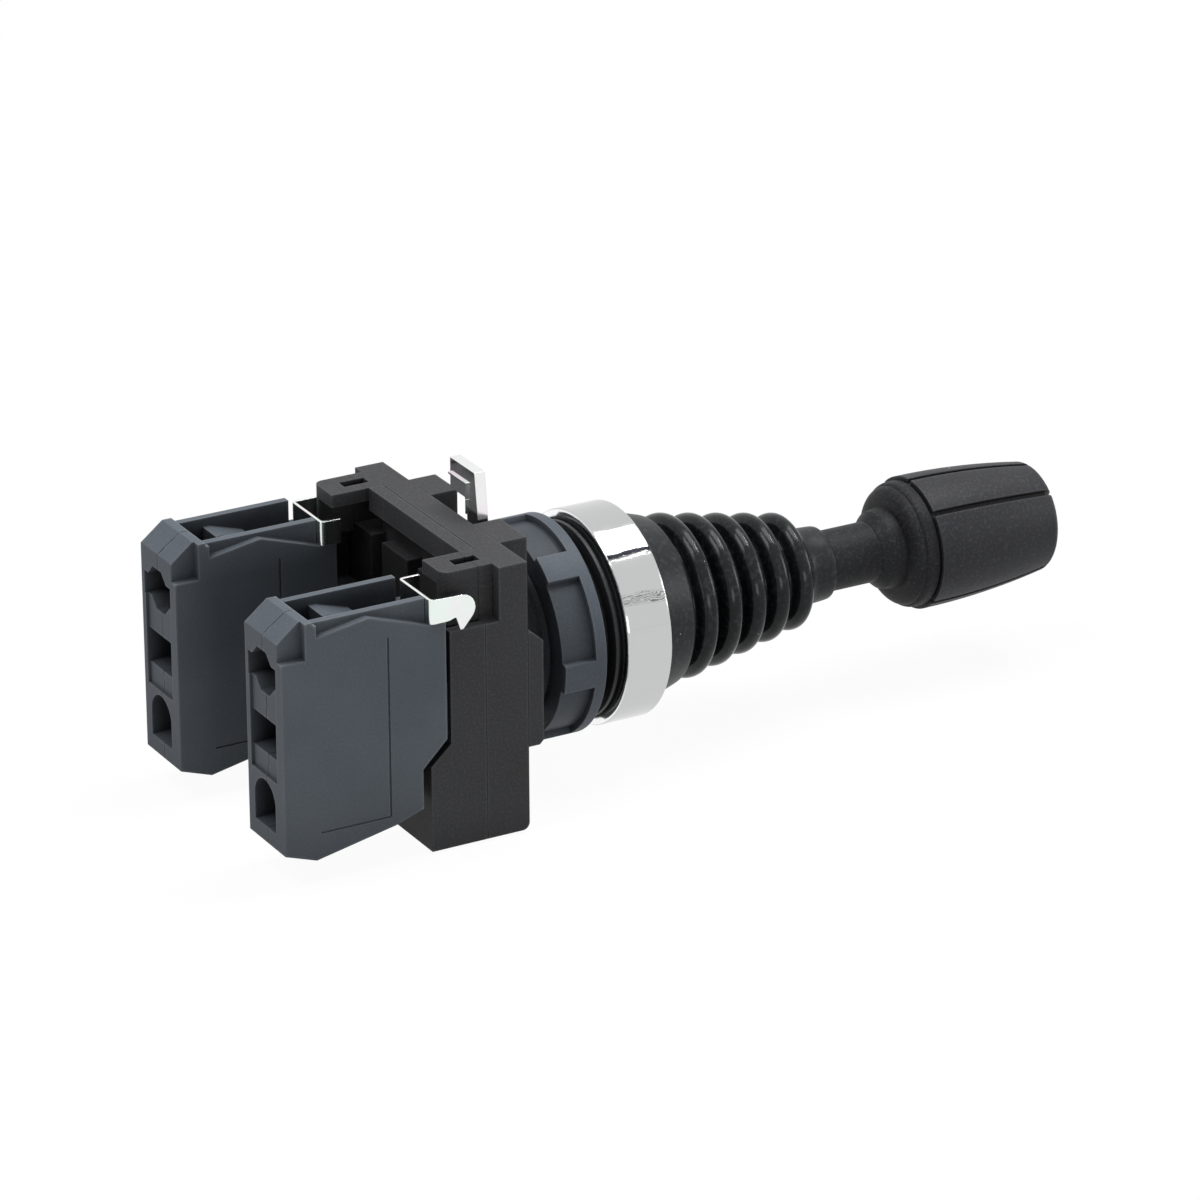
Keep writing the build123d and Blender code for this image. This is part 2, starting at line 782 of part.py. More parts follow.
# Rear shell of the collar: side walls, hollow foot, shelves, towers and the bar on top
with BuildPart() as collar_rear_shell:
    with BuildSketch(Plane.XZ):
        with BuildLine():
            Polyline(
                (seam_x, collar_bottom),
                (foot_end, collar_bottom),
                (foot_end, foot_top),
                (arm_end, foot_slope_top),
                (arm_end, arm_floor),
                (seam_x, arm_floor),
                close=True,
            )
        make_face()
    extrude(amount=collar_half_w, both=True)
    slider_room = slider_half_h + slide_gap
    shelf_top = slider_room + shelf
    # open middle between the side walls, above the shelves
    with BuildSketch(Plane.XY.offset(shelf_top)):
        with Locations(((seam_x + arm_end) / 2, 0)):
            Rectangle(seam_x - arm_end, 2 * inner_half_w)
    extrude(amount=arm_floor - shelf_top, mode=Mode.SUBTRACT)
    # room for the sliders, closed at the back but for the two plungers
    with BuildSketch(Plane.XY):
        with Locations(((seam_x + arm_end + back_wall) / 2, 0)):
            Rectangle(seam_x - arm_end - back_wall, 2 * inner_half_w)
    extrude(amount=slider_room, both=True, mode=Mode.SUBTRACT)
    with BuildSketch(Plane.YZ.offset(arm_end)):
        with Locations(*[(s * block_y, 0) for s in sides.values()]):
            Rectangle(2 * (plunger_neck_half + slide_gap), 2 * (plunger_half_h + slide_gap))
    extrude(amount=back_wall, mode=Mode.SUBTRACT)
    # hollow foot, open to the front
    foot_inner_h = collar_bottom + arm_plate
    with BuildSketch(Plane.XY.offset(foot_inner_h)):
        with Locations(((seam_x + foot_end + collar_wall) / 2, 0)):
            Rectangle(seam_x - foot_end - collar_wall, 2 * inner_half_w)
    extrude(amount=foot_top - arm_plate - foot_inner_h, mode=Mode.SUBTRACT)
    # shelves on into the front shell, above and below the sliders
    shelf_front = shell_inner - fit
    with BuildSketch(Plane.YZ.offset(seam_x)):
        shelf_mid = slider_room + shelf / 2
        with Locations((0, shelf_mid), (0, -shelf_mid)):
            Rectangle(2 * (inner_half_w - fit), shelf)
    extrude(amount=shelf_front - seam_x)
    # one tower for each of the four block places
    with BuildSketch(Plane.XY.offset(shelf_top)):
        with Locations(((shelf_front + seam_x) / 2, 0)):
            with GridLocations(1, 2 * block_y / (towers - 1), 1, towers):
                Rectangle(shelf_front - seam_x, 2 * tower_half_w)
            Rectangle(shelf_front - seam_x, 2 * (inner_half_w - fit), mode=Mode.INTERSECT)
    extrude(amount=tower_top - shelf_top)
    # step in the outer towers, clear of the skirts
    with BuildSketch(Plane.XY.offset(tower_top)):
        step_in = arm_outer - skirt_lap - fit
        step_y = (step_in + inner_half_w) / 2
        with Locations(*[((shelf_front + seam_x) / 2, s * step_y) for s in sides.values()]):
            Rectangle(shelf_front - seam_x, inner_half_w - step_in)
    extrude(amount=arm_floor - skirt_lap - fit - tower_top, mode=Mode.SUBTRACT)
    # upright behind the front wall, and the bar in the top of the collar
    bar_half_w = arm_inner - fit
    under_top = collar_top - arm_plate - fit
    with BuildSketch(Plane.XY.offset(shelf_top)):
        with Locations((shelf_front - shelf / 2, 0)):
            Rectangle(shelf, 2 * bar_half_w)
    extrude(amount=under_top - shelf_top)
    with BuildSketch(Plane.XY.offset(under_top)):
        with Locations(((shelf_front + bar_back) / 2, 0)):
            Rectangle(shelf_front - bar_back, 2 * bar_half_w)
    extrude(amount=-shelf)
    with BuildSketch(Plane.XY.offset(collar_top)):
        with Locations(((bar_front - slide_gap + bar_back) / 2, 0)):
            Rectangle(bar_front - slide_gap - bar_back, 2 * bar_half_w)
    extrude(amount=under_top - collar_top)
finish(collar_rear_shell, "collar_rear")

# Locking lever: an open ring round the barrel with a cranked leg and a thumb flag
with BuildPart() as locking_lever:
    with BuildSketch(Plane.YZ.offset(lock_back)):
        with BuildLine():
            start = 90 - lock_half_angle
            outer = CenterArc((0, 0), lock_ring_r, start, 2 * lock_half_angle)
            inner = CenterArc((0, 0), barrel_r + slide_gap, start, 2 * lock_half_angle)
            Line(outer @ 0, inner @ 0)
            Line(outer @ 1, inner @ 1)
        make_face()
        # dogs that run in the groove of the barrel
        dog_r = barrel_r - lock_groove + ease + lock_dog_len / 2
        with PolarLocations(dog_r, 2, start_angle=30, angular_range=240):
            Rectangle(lock_dog_len, lock_dog_w)
    extrude(amount=lock_t)
    with BuildSketch(Plane.YZ.offset(lock_front)):
        with BuildLine():
            Polyline(
                (lock_leg_left, lock_leg_foot),
                (lock_leg_left, collar_top),
                (lock_flag_left, lock_flag_top),
                (lock_flag_right, lock_flag_top),
                (lock_flag_right, lock_flag_bottom),
                (lock_leg_right, lock_flag_bottom),
                (lock_leg_right, lock_leg_foot),
                close=True,
            )
        make_face()
    extrude(amount=lock_leg_t)
    # raised bead bent round the inside of the flag
    bead_z = (lock_flag_bottom + lock_flag_top) / 2
    bead_x = lock_leg_right - lock_bead
    with BuildSketch(Plane.YZ.offset(lock_front)):
        with Locations(((bead_x + lock_flag_right) / 2, bead_z)):
            Rectangle(lock_flag_right - bead_x, lock_bead)
        with Locations((bead_x + lock_bead / 2, (bead_z + lock_flag_bottom) / 2)):
            Rectangle(lock_bead, bead_z - lock_flag_bottom)
    extrude(amount=-lock_bead)
finish(locking_lever, "locking_lever")


# Whole housing of a contact block about its own middle, before it is parted in two
with BuildPart() as housing:
    nub_x = block_back + nub_from_back
    open_top = block_top + nub_h
    with BuildSketch(Plane.XZ):
        with BuildLine():
            Polyline(
                (block_back, back_bottom),
                (block_back + keel_len, keel_z),
                (block_front - keel_to_front, keel_front_z),
                (block_front - toe_step, toe_z),
                (block_front - toe_step, toe_top),
                (block_front, heel_z),
                (block_front, block_shoulder),
                (block_wall_end, block_shoulder),
                (block_wall_end, block_top),
                (nub_x + nub_w / 2, block_top),
                (nub_x + nub_w / 2, open_top),
                (nub_x - nub_w / 2, open_top),
                (block_back, back_top),
                close=True,
            )
        make_face()
    extrude(amount=block_half_w, both=True)
    # pad round the plunger, which rests on the collar
    with BuildSketch(Plane.YZ.offset(block_front)):
        with Locations((0, (pad_top + pad_bottom) / 2)):
            Rectangle(2 * pad_half_w, pad_top - pad_bottom)
    extrude(amount=arm_end - fit - block_front)
    # troughs in the top, either side of the web and its ramp
    trough_left = cheek_depth + block_wall - block_half_w
    trough_right = block_half_w - block_wall
    trough_back = block_back + trough_from_back
    trough_web = trough_back + trough_len
    ramp_end = trough_web + ramp_len
    with BuildSketch(Plane.XZ.offset(-trough_left)):
        with BuildLine():
            Polyline(
                (trough_back, open_top),
                (trough_back, trough_floor),
                (trough_web - trough_web_t, trough_floor),
                (trough_web - trough_web_t, block_top - ramp_drop),
                (trough_web, block_top - ramp_drop),
                (ramp_end, trough_floor + ramp_drop),
                (ramp_end, trough_floor),
                (block_wall_end, trough_floor),
                (block_wall_end, open_top),
                close=True,
            )
        make_face()
    extrude(amount=trough_left - trough_right, mode=Mode.SUBTRACT)
    # cheek cut down the outer side of the hooked wall, up to a crest
    cheek_low_x = block_back + cheek_low_from_back
    with BuildSketch(Plane.XZ.offset(block_half_w)):
        with BuildLine():
            Polyline(
                (cheek_low_x, open_top),
                (cheek_low_x, cheek_low_z),
                (block_back + cheek_crest_from_back, cheek_crest_z),
                (block_wall_end, block_shoulder),
                (block_wall_end, open_top),
                close=True,
            )
        make_face()
    extrude(amount=-cheek_depth, mode=Mode.SUBTRACT)
    # recess at the top back corner
    with BuildSketch(Plane.XZ.offset(block_half_w)):
        recess_mid = (block_back + side_recess_len / 2, (side_recess_floor + open_top) / 2)
        with Locations(recess_mid):
            Rectangle(side_recess_len, open_top - side_recess_floor)
    extrude(amount=-side_recess, mode=Mode.SUBTRACT)
    # fine groove that frames the bare side field
    mark_x = block_back + mark_from_back
    with BuildSketch(Plane.XZ.offset(block_half_w)):
        with Locations((mark_x, (mark_z + mark_top) / 2)):
            Rectangle(mark_w, mark_top - mark_z)
        with Locations((mark_x - mark_len / 2, mark_z)):
            Rectangle(mark_len, mark_w)
    extrude(amount=-mark_depth, mode=Mode.SUBTRACT)
    # shallow strip down the back face, round the upper entry and the port
    with BuildSketch(Plane.YZ.offset(block_back)):
        with Locations((port_y, (entry_z + strip_bottom) / 2)):
            Rectangle(port_w, entry_z - strip_bottom)
    extrude(amount=strip_depth, mode=Mode.SUBTRACT)
    # wire entries and the middle port in the back face
    with BuildSketch(Plane.YZ.offset(block_back)):
        with Locations((port_y, entry_z)):
            Rectangle(entry_w, entry_h)
            RegularPolygon(entry_tall / 2, 8, rotation=22.5, major_radius=False)
        arch_mid = arch_z + arch_h / 2 - arch_w / 2
        with Locations((port_y, (arch_mid + arch_z - arch_h / 2) / 2)):
            Rectangle(arch_w, arch_mid - arch_z + arch_h / 2)
        with Locations((port_y, arch_mid)):
            Circle(arch_w / 2)
    extrude(amount=terminal_x - block_back, mode=Mode.SUBTRACT)
    with BuildSketch(Plane.YZ.offset(block_back)):
        with Locations((port_y, port_z)):
            Rectangle(port_w, port_h)
    extrude(amount=port_depth, mode=Mode.SUBTRACT)
    # chamber for the terminals and the bridge
    chamber_back = terminal_x - washer_t - fit
    chamber_front = bridge_x + stroke + ease
    with BuildSketch(Plane.XY):
        with Locations(((chamber_back + chamber_front) / 2, port_y)):
            Rectangle(chamber_front - chamber_back, 2 * (terminal_half_w + fit))
    extrude(amount=entry_z + terminal_half_h + fit, both=True, mode=Mode.SUBTRACT)
    # way for the plunger: a room for its body and a hole for its neck
    with BuildSketch(Plane.YZ.offset(spring_seat)):
        Rectangle(2 * (plunger_half_w + slide_gap), 2 * (plunger_half_h + slide_gap))
    extrude(amount=body_front + stroke + ease - spring_seat, mode=Mode.SUBTRACT)
    with BuildSketch(Plane.YZ.offset(body_front)):
        Rectangle(2 * (plunger_neck_half + slide_gap), 2 * (plunger_half_h + slide_gap))
    extrude(amount=arm_end - body_front, mode=Mode.SUBTRACT)

for side, sign in sides.items():
    middle = sign * block_y
    entry_y = middle + port_y

    # the housing is parted on its middle plane into a base and a cover
    for half, keep in (("base", Keep.TOP), ("cover", Keep.BOTTOM)):
        with BuildPart() as shell:
            add(housing.part.moved(Location((0, middle, 0))))
            split(bisect_by=Plane.XZ.offset(-middle), keep=keep)
        finish(shell, f"{side}_block_{half}")

    # plunger: a neck out of the front, a window for the bridge, a bay for the spring
    with BuildPart() as plunger:
        with BuildSketch(Plane.YZ.offset(plunger_front)):
            with Locations((middle, 0)):
                Rectangle(2 * plunger_neck_half, 2 * plunger_half_h)
        extrude(amount=-plunger_neck_len)
        with BuildSketch(Plane.YZ.offset(body_front)):
            with Locations((middle, 0)):
                Rectangle(2 * plunger_half_w, 2 * plunger_half_h)
        extrude(amount=plunger_end - body_front)
        chamfer(plunger.faces().sort_by(Axis.X)[-1].edges(), plunger_chamfer)
        with BuildSketch(Plane.XY):
            window_back = bridge_x - bridge_t
            with Locations(((window_front + window_back) / 2, middle)):
                Rectangle(window_front - window_back, 2 * (bridge_half_w + slide_gap))
            with Locations(((plunger_end + plunger_bore_end) / 2, middle)):
                Rectangle(plunger_bore_end - plunger_end, 2 * plunger_bore_half)
        extrude(amount=plunger_half_h, both=True, mode=Mode.SUBTRACT)
    finish(plunger, f"{side}_plunger")

    # moving bridge with a rivet at each end
    with BuildPart() as bridge:
        with BuildSketch(Plane.YZ.offset(bridge_x)):
            with Locations((middle, 0)):
                Rectangle(2 * bridge_half_w, 2 * bridge_reach)
        extrude(amount=-bridge_t)
        with BuildSketch(Plane.YZ.offset(bridge_x - bridge_t)):
            with Locations((middle, rivet_z), (middle, -rivet_z)):
                Circle(rivet_r)
        extrude(amount=-rivet_h)
    finish(bridge, f"{side}_contact_bridge")

    # springs: one presses the bridge back in its window, one returns the plunger
    contact_spring = coil(
        window_front, bridge_x, middle, contact_spring_r, spring_wire / 2, contact_spring_turns
    )
    finish(contact_spring, f"{side}_contact_spring")
    return_spring = coil(
        plunger_bore_end, spring_seat, middle, return_spring_r, spring_wire / 2,
        return_spring_turns
    )
    finish(return_spring, f"{side}_return_spring")

    # fixed terminals: an upright plate for the screw, and an arm to the rivet
    for level, up, plate_z in (("upper", 1, entry_z), ("lower", -1, arch_z)):
        with BuildPart() as terminal:
            with BuildSketch(Plane.YZ.offset(terminal_x)):
                with Locations((entry_y, plate_z)):
                    Rectangle(2 * terminal_half_w, 2 * terminal_half_h)
                    Circle(screw_r + fit, mode=Mode.SUBTRACT)
            extrude(amount=terminal_t)
            arm_low = rivet_z - rivet_r - terminal_t
            arm_high = rivet_z - rivet_r
            with BuildSketch(Plane.XZ.offset(-middle)):
                with BuildLine():
                    Polyline(
                        (terminal_x, up * arm_low),
                        (bridge_stop, up * arm_low),
                        (bridge_stop, up * (rivet_z + rivet_r)),
                        (bridge_stop - terminal_t, up * (rivet_z + rivet_r)),
                        (bridge_stop - terminal_t, up * arm_high),
                        (terminal_x, up * arm_high),
                        close=True,
                    )
                make_face()
            extrude(amount=bridge_half_w, both=True)
            with BuildSketch(Plane.XZ.offset(-middle)):
                stem_high = plate_z - up * (screw_r + fit)
                with Locations((terminal_x + terminal_t / 2, (up * arm_low + stem_high) / 2)):
                    Rectangle(terminal_t, abs(stem_high - up * arm_low))
            extrude(amount=bridge_half_w, both=True)
        finish(terminal, f"{side}_{level}_terminal")

    # clamp washers and slotted screws, one pair for each terminal
    with BuildPart() as washers:
        with BuildSketch(Plane.YZ.offset(terminal_x)):
            with Locations((entry_y, entry_z), (entry_y, arch_z)):
                Rectangle(2 * washer_half, 2 * washer_half)
                Circle(screw_r + fit, mode=Mode.SUBTRACT)
        extrude(amount=-washer_t)
    finish(washers, f"{side}_clamp_washers")
    with BuildPart() as screws:
        head_x = terminal_x - washer_t
        with BuildSketch(Plane.YZ.offset(head_x)):
            with Locations((entry_y, entry_z), (entry_y, arch_z)):
                Circle(screw_head_r)
        extrude(amount=-screw_head)
        with BuildSketch(Plane.YZ.offset(head_x)):
            with Locations((entry_y, entry_z), (entry_y, arch_z)):
                Circle(screw_r)
        extrude(amount=washer_t + terminal_t + screw_tip)
        with BuildSketch(Plane.YZ.offset(head_x - screw_head)):
            with Locations((entry_y, entry_z), (entry_y, arch_z)):
                Rectangle(2 * screw_head_r, screw_slot)
        extrude(amount=screw_head / 2, mode=Mode.SUBTRACT)
    finish(screws, f"{side}_terminal_screws")

    # spring clip: a web on the shoulder, a short leg inside and a hooked plate outside
    with BuildPart() as clip:
        low = middle + clip_low
        hook_y, leg_y = (low, low + clip_w) if sign < 0 else (low + clip_w, low)
        hook_inner = hook_y - sign * clip_t
        web_back = clip_x - clip_t
        with BuildSketch(Plane.XY.offset(clip_foot)):
            with BuildLine():
                Polyline(
                    (clip_x + clip_short, leg_y),
                    (clip_x + clip_short, leg_y + sign * clip_t),
                    (clip_x, leg_y + sign * clip_t),
                    (clip_x, hook_y),
                    (web_back, hook_y),
                    (web_back, leg_y),
                    close=True,
                )
            make_face()
        extrude(amount=clip_top - clip_foot)
        with BuildSketch(Plane.XZ.offset(-max(hook_y, hook_inner))):
            tip_x = clip_hook_x - clip_tip_back
            tip_z = clip_foot - clip_tip_drop
            with BuildLine():
                Polyline(
                    (clip_x, clip_top),
                    (clip_hook_x, clip_top),
                    (clip_hook_x, clip_foot + clip_cheek),
                    (tip_x, tip_z),
                    (tip_x - clip_tip_w, tip_z),
                    (tip_x - clip_tip_w - clip_tip_rake, clip_foot),
                    (clip_x, clip_foot),
                    close=True,
                )
            make_face()
            fillet(vertices().sort_by(Axis.X)[-1:], clip_round)
        extrude(amount=clip_t)
    finish(clip, f"{side}_block_clip")
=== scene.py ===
# %% [markdown]
# Panel joystick: looks built round the CAD frame.
#
# The solids come from the CAD model and are never moved here. Each of them gets a material
# that says what it is made of. The soft boot, the two spring clips and a small ridge are made
# here as pieces of their own. Lengths are metres; +X runs along the lever to the operator.

from math import cos, pi, radians, sin

import bmesh
import bpy
from mathutils import Matrix, Vector


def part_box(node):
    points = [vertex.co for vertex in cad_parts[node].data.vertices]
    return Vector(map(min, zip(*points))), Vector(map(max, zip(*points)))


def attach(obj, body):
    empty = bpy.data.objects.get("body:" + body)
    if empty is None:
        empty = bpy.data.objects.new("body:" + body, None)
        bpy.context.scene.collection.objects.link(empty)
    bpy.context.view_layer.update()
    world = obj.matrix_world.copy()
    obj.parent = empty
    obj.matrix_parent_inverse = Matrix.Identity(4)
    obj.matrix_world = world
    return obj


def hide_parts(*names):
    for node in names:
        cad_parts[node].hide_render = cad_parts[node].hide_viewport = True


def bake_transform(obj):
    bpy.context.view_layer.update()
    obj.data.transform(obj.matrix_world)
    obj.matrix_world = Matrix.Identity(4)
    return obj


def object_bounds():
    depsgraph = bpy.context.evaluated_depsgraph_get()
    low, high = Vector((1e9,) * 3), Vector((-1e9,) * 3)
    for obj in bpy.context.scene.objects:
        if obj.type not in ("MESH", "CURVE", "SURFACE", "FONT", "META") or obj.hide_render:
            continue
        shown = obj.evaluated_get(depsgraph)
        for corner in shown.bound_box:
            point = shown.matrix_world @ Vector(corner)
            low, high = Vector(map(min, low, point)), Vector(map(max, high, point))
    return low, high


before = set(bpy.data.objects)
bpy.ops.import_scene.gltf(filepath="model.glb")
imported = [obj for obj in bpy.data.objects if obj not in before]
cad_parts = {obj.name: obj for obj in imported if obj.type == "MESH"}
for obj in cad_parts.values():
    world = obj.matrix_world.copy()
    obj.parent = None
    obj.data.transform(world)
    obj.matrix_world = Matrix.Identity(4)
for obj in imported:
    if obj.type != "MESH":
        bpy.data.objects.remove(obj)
cad_box = [list(corner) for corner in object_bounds()]
MM = 0.001

# %% [markdown]
# The camera stands where the photographer's did. A camera could be placed by eye, but the two
# equal contact blocks and the round rims give its angle, distance and lens exactly. A long lens
# from far away keeps the blocks almost parallel, as in the photograph.

# %% Camera
AZIMUTH = radians(-29.2)
ELEVATION = radians(22.9)
ROLL = radians(-0.29)
CAMERA_PLACE = (-0.37462, -0.67923, 0.33031)
SENSOR = 36.0
LENS = 193.35


def new_object(name, data):
    """An object at the origin that shows this data, linked to the scene."""
    shown = bpy.data.objects.new(name, data)
    bpy.context.scene.collection.objects.link(shown)
    return shown


back = Vector((sin(AZIMUTH) * cos(ELEVATION), -cos(AZIMUTH) * cos(ELEVATION), sin(ELEVATION)))
right = Vector((cos(AZIMUTH), sin(AZIMUTH), 0))
up = back.cross(right)
right_rolled = right * cos(ROLL) + up * sin(ROLL)
up_rolled = up * cos(ROLL) - right * sin(ROLL)

camera_data = bpy.data.cameras.new("camera")
camera_data.lens = LENS
camera_data.sensor_width = SENSOR
camera_data.clip_start = 0.05
camera_data.clip_end = 20
camera = new_object("camera", camera_data)
turn = Matrix((right_rolled, up_rolled, back)).transposed().to_4x4()
camera.matrix_world = Matrix.Translation(CAMERA_PLACE) @ turn
bpy.context.scene.camera = camera
print("camera at", [round(v, 3) for v in camera.location])

# %% [markdown]
# The lamps are those of a plain studio. A large soft lamp stands above the part and a second one
# above and behind it. A narrow strip beside the first draws the thin highlights on the folds, and
# two weaker lamps fill the near side and the grip. Soft lamps are large areas, because the size
# of an area lamp is what makes its shadows and highlights wide or narrow.

# %% Lamps
AIM = Vector((0.01, 0, 0))
LAMPS = (  # name, place, width and height, watts
    ("top_softbox", (0.25, 0.05, 0.8), (0.45, 0.5), 4.4),
    ("top_strip", (0.42, -0.06, 0.8), (0.3, 0.014), 1.3),
    ("rear_softbox", (-0.4, 0.0, 0.7), (0.4, 0.4), 3.4),
    ("side_fill", (-0.15, -1.0, 0.12), (0.4, 0.3), 1.95),
    ("grip_light", (0.85, -0.35, 0.25), (0.3, 0.4), 2.2),
)

for name, place, size, power in LAMPS:
    lamp_data = bpy.data.lights.new(name, "AREA")
    lamp_data.shape = "RECTANGLE"
    lamp_data.size, lamp_data.size_y = size
    lamp_data.energy = power
    lamp = new_object(name, lamp_data)
    lamp.location = place
    lamp.rotation_euler = (AIM - Vector(place)).to_track_quat("-Z", "Y").to_euler()
print("lamps", len(bpy.data.lights))

# %% [markdown]
# The room, the floor and all materials are built from nodes, and most of their numbers pass
# through a Math, Mix or Map Range node. A few short helpers make such a node and link it in one
# line, so that the cells below read like the sums they stand for. A value may be a number, a
# colour or the output of another node.

# %% Helpers for nodes


def feed(tree, slot, value):
    """Set a socket to a number or a colour, or link another node's output to it."""
    if isinstance(value, (int, float)):
        slot.default_value = value
    elif isinstance(value, tuple):
        slot.default_value = (*value, 1) if len(value) == 3 and slot.type == "RGBA" else value
    else:
        tree.links.new(value, slot)


def calc(tree, operation, *values):
    """A Math node."""
    node = tree.nodes.new("ShaderNodeMath")
    node.operation = operation
    for slot, value in zip(node.inputs, values):
        feed(tree, slot, value)
    return node.outputs[0]


def seen_by(tree, *kinds):
    """A Light Path node: 1 for rays of these kinds and 0 for all others."""
    path = tree.nodes.new("ShaderNodeLightPath")
    share = path.outputs[kinds[0]]
    for kind in kinds[1:]:
        share = calc(tree, "MAXIMUM", share, path.outputs[kind])
    return share


def mix_shaders(tree, share, first, second):
    """A Mix Shader node."""
    node = tree.nodes.new("ShaderNodeMixShader")
    for slot, value in zip(node.inputs, (share, first.outputs[0], second.outputs[0])):
        feed(tree, slot, value)
    return node.outputs[0]


print("node helpers ready")

# %% [markdown]
# The room gives a little light from all sides. A white room would be the simplest background,
# but it would pour light on black plastic and turn it grey. So the room is pure white only for
# the camera, for mirrors and for glass, and it lights the part with a dim bluish white.

# %% Room
ROOM_TINT = (0.93, 0.96, 1.0)
ROOM_LIGHT = 0.05

world = bpy.data.worlds.new("pale_room")
bpy.context.scene.world = world
world.use_nodes = True
room = world.node_tree
room.nodes.clear()
dim = room.nodes.new("ShaderNodeBackground")
feed(room, dim.inputs["Color"], ROOM_TINT)
feed(room, dim.inputs["Strength"], ROOM_LIGHT)
white = room.nodes.new("ShaderNodeBackground")
feed(room, white.inputs["Color"], (1.0, 1.0, 1.0))
in_view = seen_by(room, "Is Camera Ray", "Is Glossy Ray", "Is Transmission Ray")
room_out = room.nodes.new("ShaderNodeOutputWorld")
feed(room, room_out.inputs["Surface"], mix_shaders(room, in_view, dim, white))
bpy.context.scene.view_settings.view_transform = "Standard"
print("room light", ROOM_LIGHT)

# %% [markdown]
# The floor is a plain pale sheet just under the lowest solid. Most of what the camera and the
# mirrors see of it glows white, so that it runs into the background, and the rest is paint that
# takes the object's shadow.

# %% Floor sheet
FLOOR_GAP = 0.0004
FLOOR_SIZE = 6
FLOOR_PAINT = (0.45, 0.45, 0.45)
FLOOR_GLOW = 1.06
FLOOR_GLOW_SHARE = 0.9


def new_piece(name, bm, material):
    """An object whose mesh is what the bmesh holds, in one material."""
    mesh = bpy.data.meshes.new(name)
    bm.to_mesh(mesh)
    bm.free()
    mesh.materials.append(material)
    return new_object(name, mesh)


floor_material = bpy.data.materials.new("floor_white")
floor_material.use_nodes = True
tree = floor_material.node_tree
tree.nodes.clear()
paint = tree.nodes.new("ShaderNodeBsdfDiffuse")
feed(tree, paint.inputs["Color"], FLOOR_PAINT)
glow = tree.nodes.new("ShaderNodeEmission")
feed(tree, glow.inputs["Strength"], FLOOR_GLOW)
glowing = calc(tree, "MULTIPLY", seen_by(tree, "Is Camera Ray", "Is Glossy Ray"), FLOOR_GLOW_SHARE)
floor_out = tree.nodes.new("ShaderNodeOutputMaterial")
feed(tree, floor_out.inputs["Surface"], mix_shaders(tree, glowing, paint, glow))

floor_z = cad_box[0][2] - FLOOR_GAP
bm = bmesh.new()
bmesh.ops.create_grid(bm, x_segments=1, y_segments=1, size=FLOOR_SIZE)
bmesh.ops.translate(bm, verts=bm.verts, vec=(0, 0, floor_z))
floor = new_piece("floor", bm, floor_material)
print("floor at", round(floor_z, 4))

# %% [markdown]
# Finishes need a few more nodes: a clamped range, a mix of two colours, a noise, and the point on
# the surface, either as it is or as a distance and an angle round the lever's axis. All of them
# start from Object coordinates, so a finish stays on its piece when the piece moves.

# %% Helpers for finishes


def spread_out(tree, value, low, high, to_low=0.0, to_high=1.0):
    """A Map Range node that takes low..high to another range and clamps it."""
    node = tree.nodes.new("ShaderNodeMapRange")
    for slot, number in zip(node.inputs, (value, low, high, to_low, to_high)):
        feed(tree, slot, number)
    return node.outputs["Result"]


def mix_colour(tree, amount, first, second):
    """A Mix node for colours."""
    node = tree.nodes.new("ShaderNodeMix")
    node.data_type = "RGBA"
    for slot, value in (("Factor", amount), ("A", first), ("B", second)):
        sockets = [one for one in node.inputs if one.name == slot and one.enabled]
        feed(tree, sockets[0], value)
    return [one for one in node.outputs if one.enabled][0]


def here(tree):
    """The point on the surface in the object's own coordinates."""
    return tree.nodes.new("ShaderNodeTexCoord").outputs["Object"]


def noise(tree, vector, size, detail=3.0):
    """A Noise node; size counts waves per metre."""
    node = tree.nodes.new("ShaderNodeTexNoise")
    feed(tree, node.inputs["Scale"], size)
    node.inputs["Detail"].default_value = detail
    tree.links.new(vector, node.inputs["Vector"])
    return node.outputs["Fac"]


def stretched(tree, vector, scale):
    """Coordinates stretched along the axes."""
    node = tree.nodes.new("ShaderNodeMapping")
    node.inputs["Scale"].default_value = scale
    tree.links.new(vector, node.inputs["Vector"])
    return node.outputs["Vector"]


def split(tree, vector):
    """The x, y and z of a vector."""
    node = tree.nodes.new("ShaderNodeSeparateXYZ")
    tree.links.new(vector, node.inputs[0])
    return node.outputs


def radius(tree):
    """The distance from the lever's axis, and the angle round it in turns."""
    _, side, height = split(tree, here(tree))
    reach = calc(tree, "SQRT", calc(tree, "ADD", calc(tree, "MULTIPLY", side, side),
                                    calc(tree, "MULTIPLY", height, height)))
    return reach, calc(tree, "DIVIDE", calc(tree, "ARCTAN2", side, height), 2 * pi)


print("finish helpers ready")

# %% [markdown]
# Moulded plastic is never quite smooth. A spark-eroded mould leaves a fine grain, and handling
# rubs it a little brighter in soft patches. Recesses get painted shade: the colour darkens
# towards black where Ambient Occlusion finds the surface enclosed. Outer edges get a painted
# highlight, a paler colour where light would catch them. An image could show this on one piece
# only. Noise and Ambient Occlusion nodes fit any shape, and as one group every plastic shares
# the effect with its own scale and depth.

# %% Group: moulded finish with painted shade and edge highlights
FLOAT = "NodeSocketFloat"
COLOUR = "NodeSocketColor"
# Pale colour for rubbed patches and grit, and for the painted edge highlight.
PALE_WEAR_AND_HIGHLIGHT = (0.5, 0.53, 0.57)
PATCH_SIZE = 90.0
GRIT = 0.05
EDGE_HIGHLIGHT_REACH = 0.0005


def new_group(name, inputs, outputs):
    """An empty shader group with named sockets, and its two end nodes."""
    group = bpy.data.node_groups.new(name, "ShaderNodeTree")
    for socket, kind, value in inputs:
        group.interface.new_socket(socket, in_out="INPUT", socket_type=kind).default_value = value
    for socket, kind in outputs:
        group.interface.new_socket(socket, in_out="OUTPUT", socket_type=kind)
    return (group, group.nodes.new("NodeGroupInput").outputs,
            group.nodes.new("NodeGroupOutput").inputs)


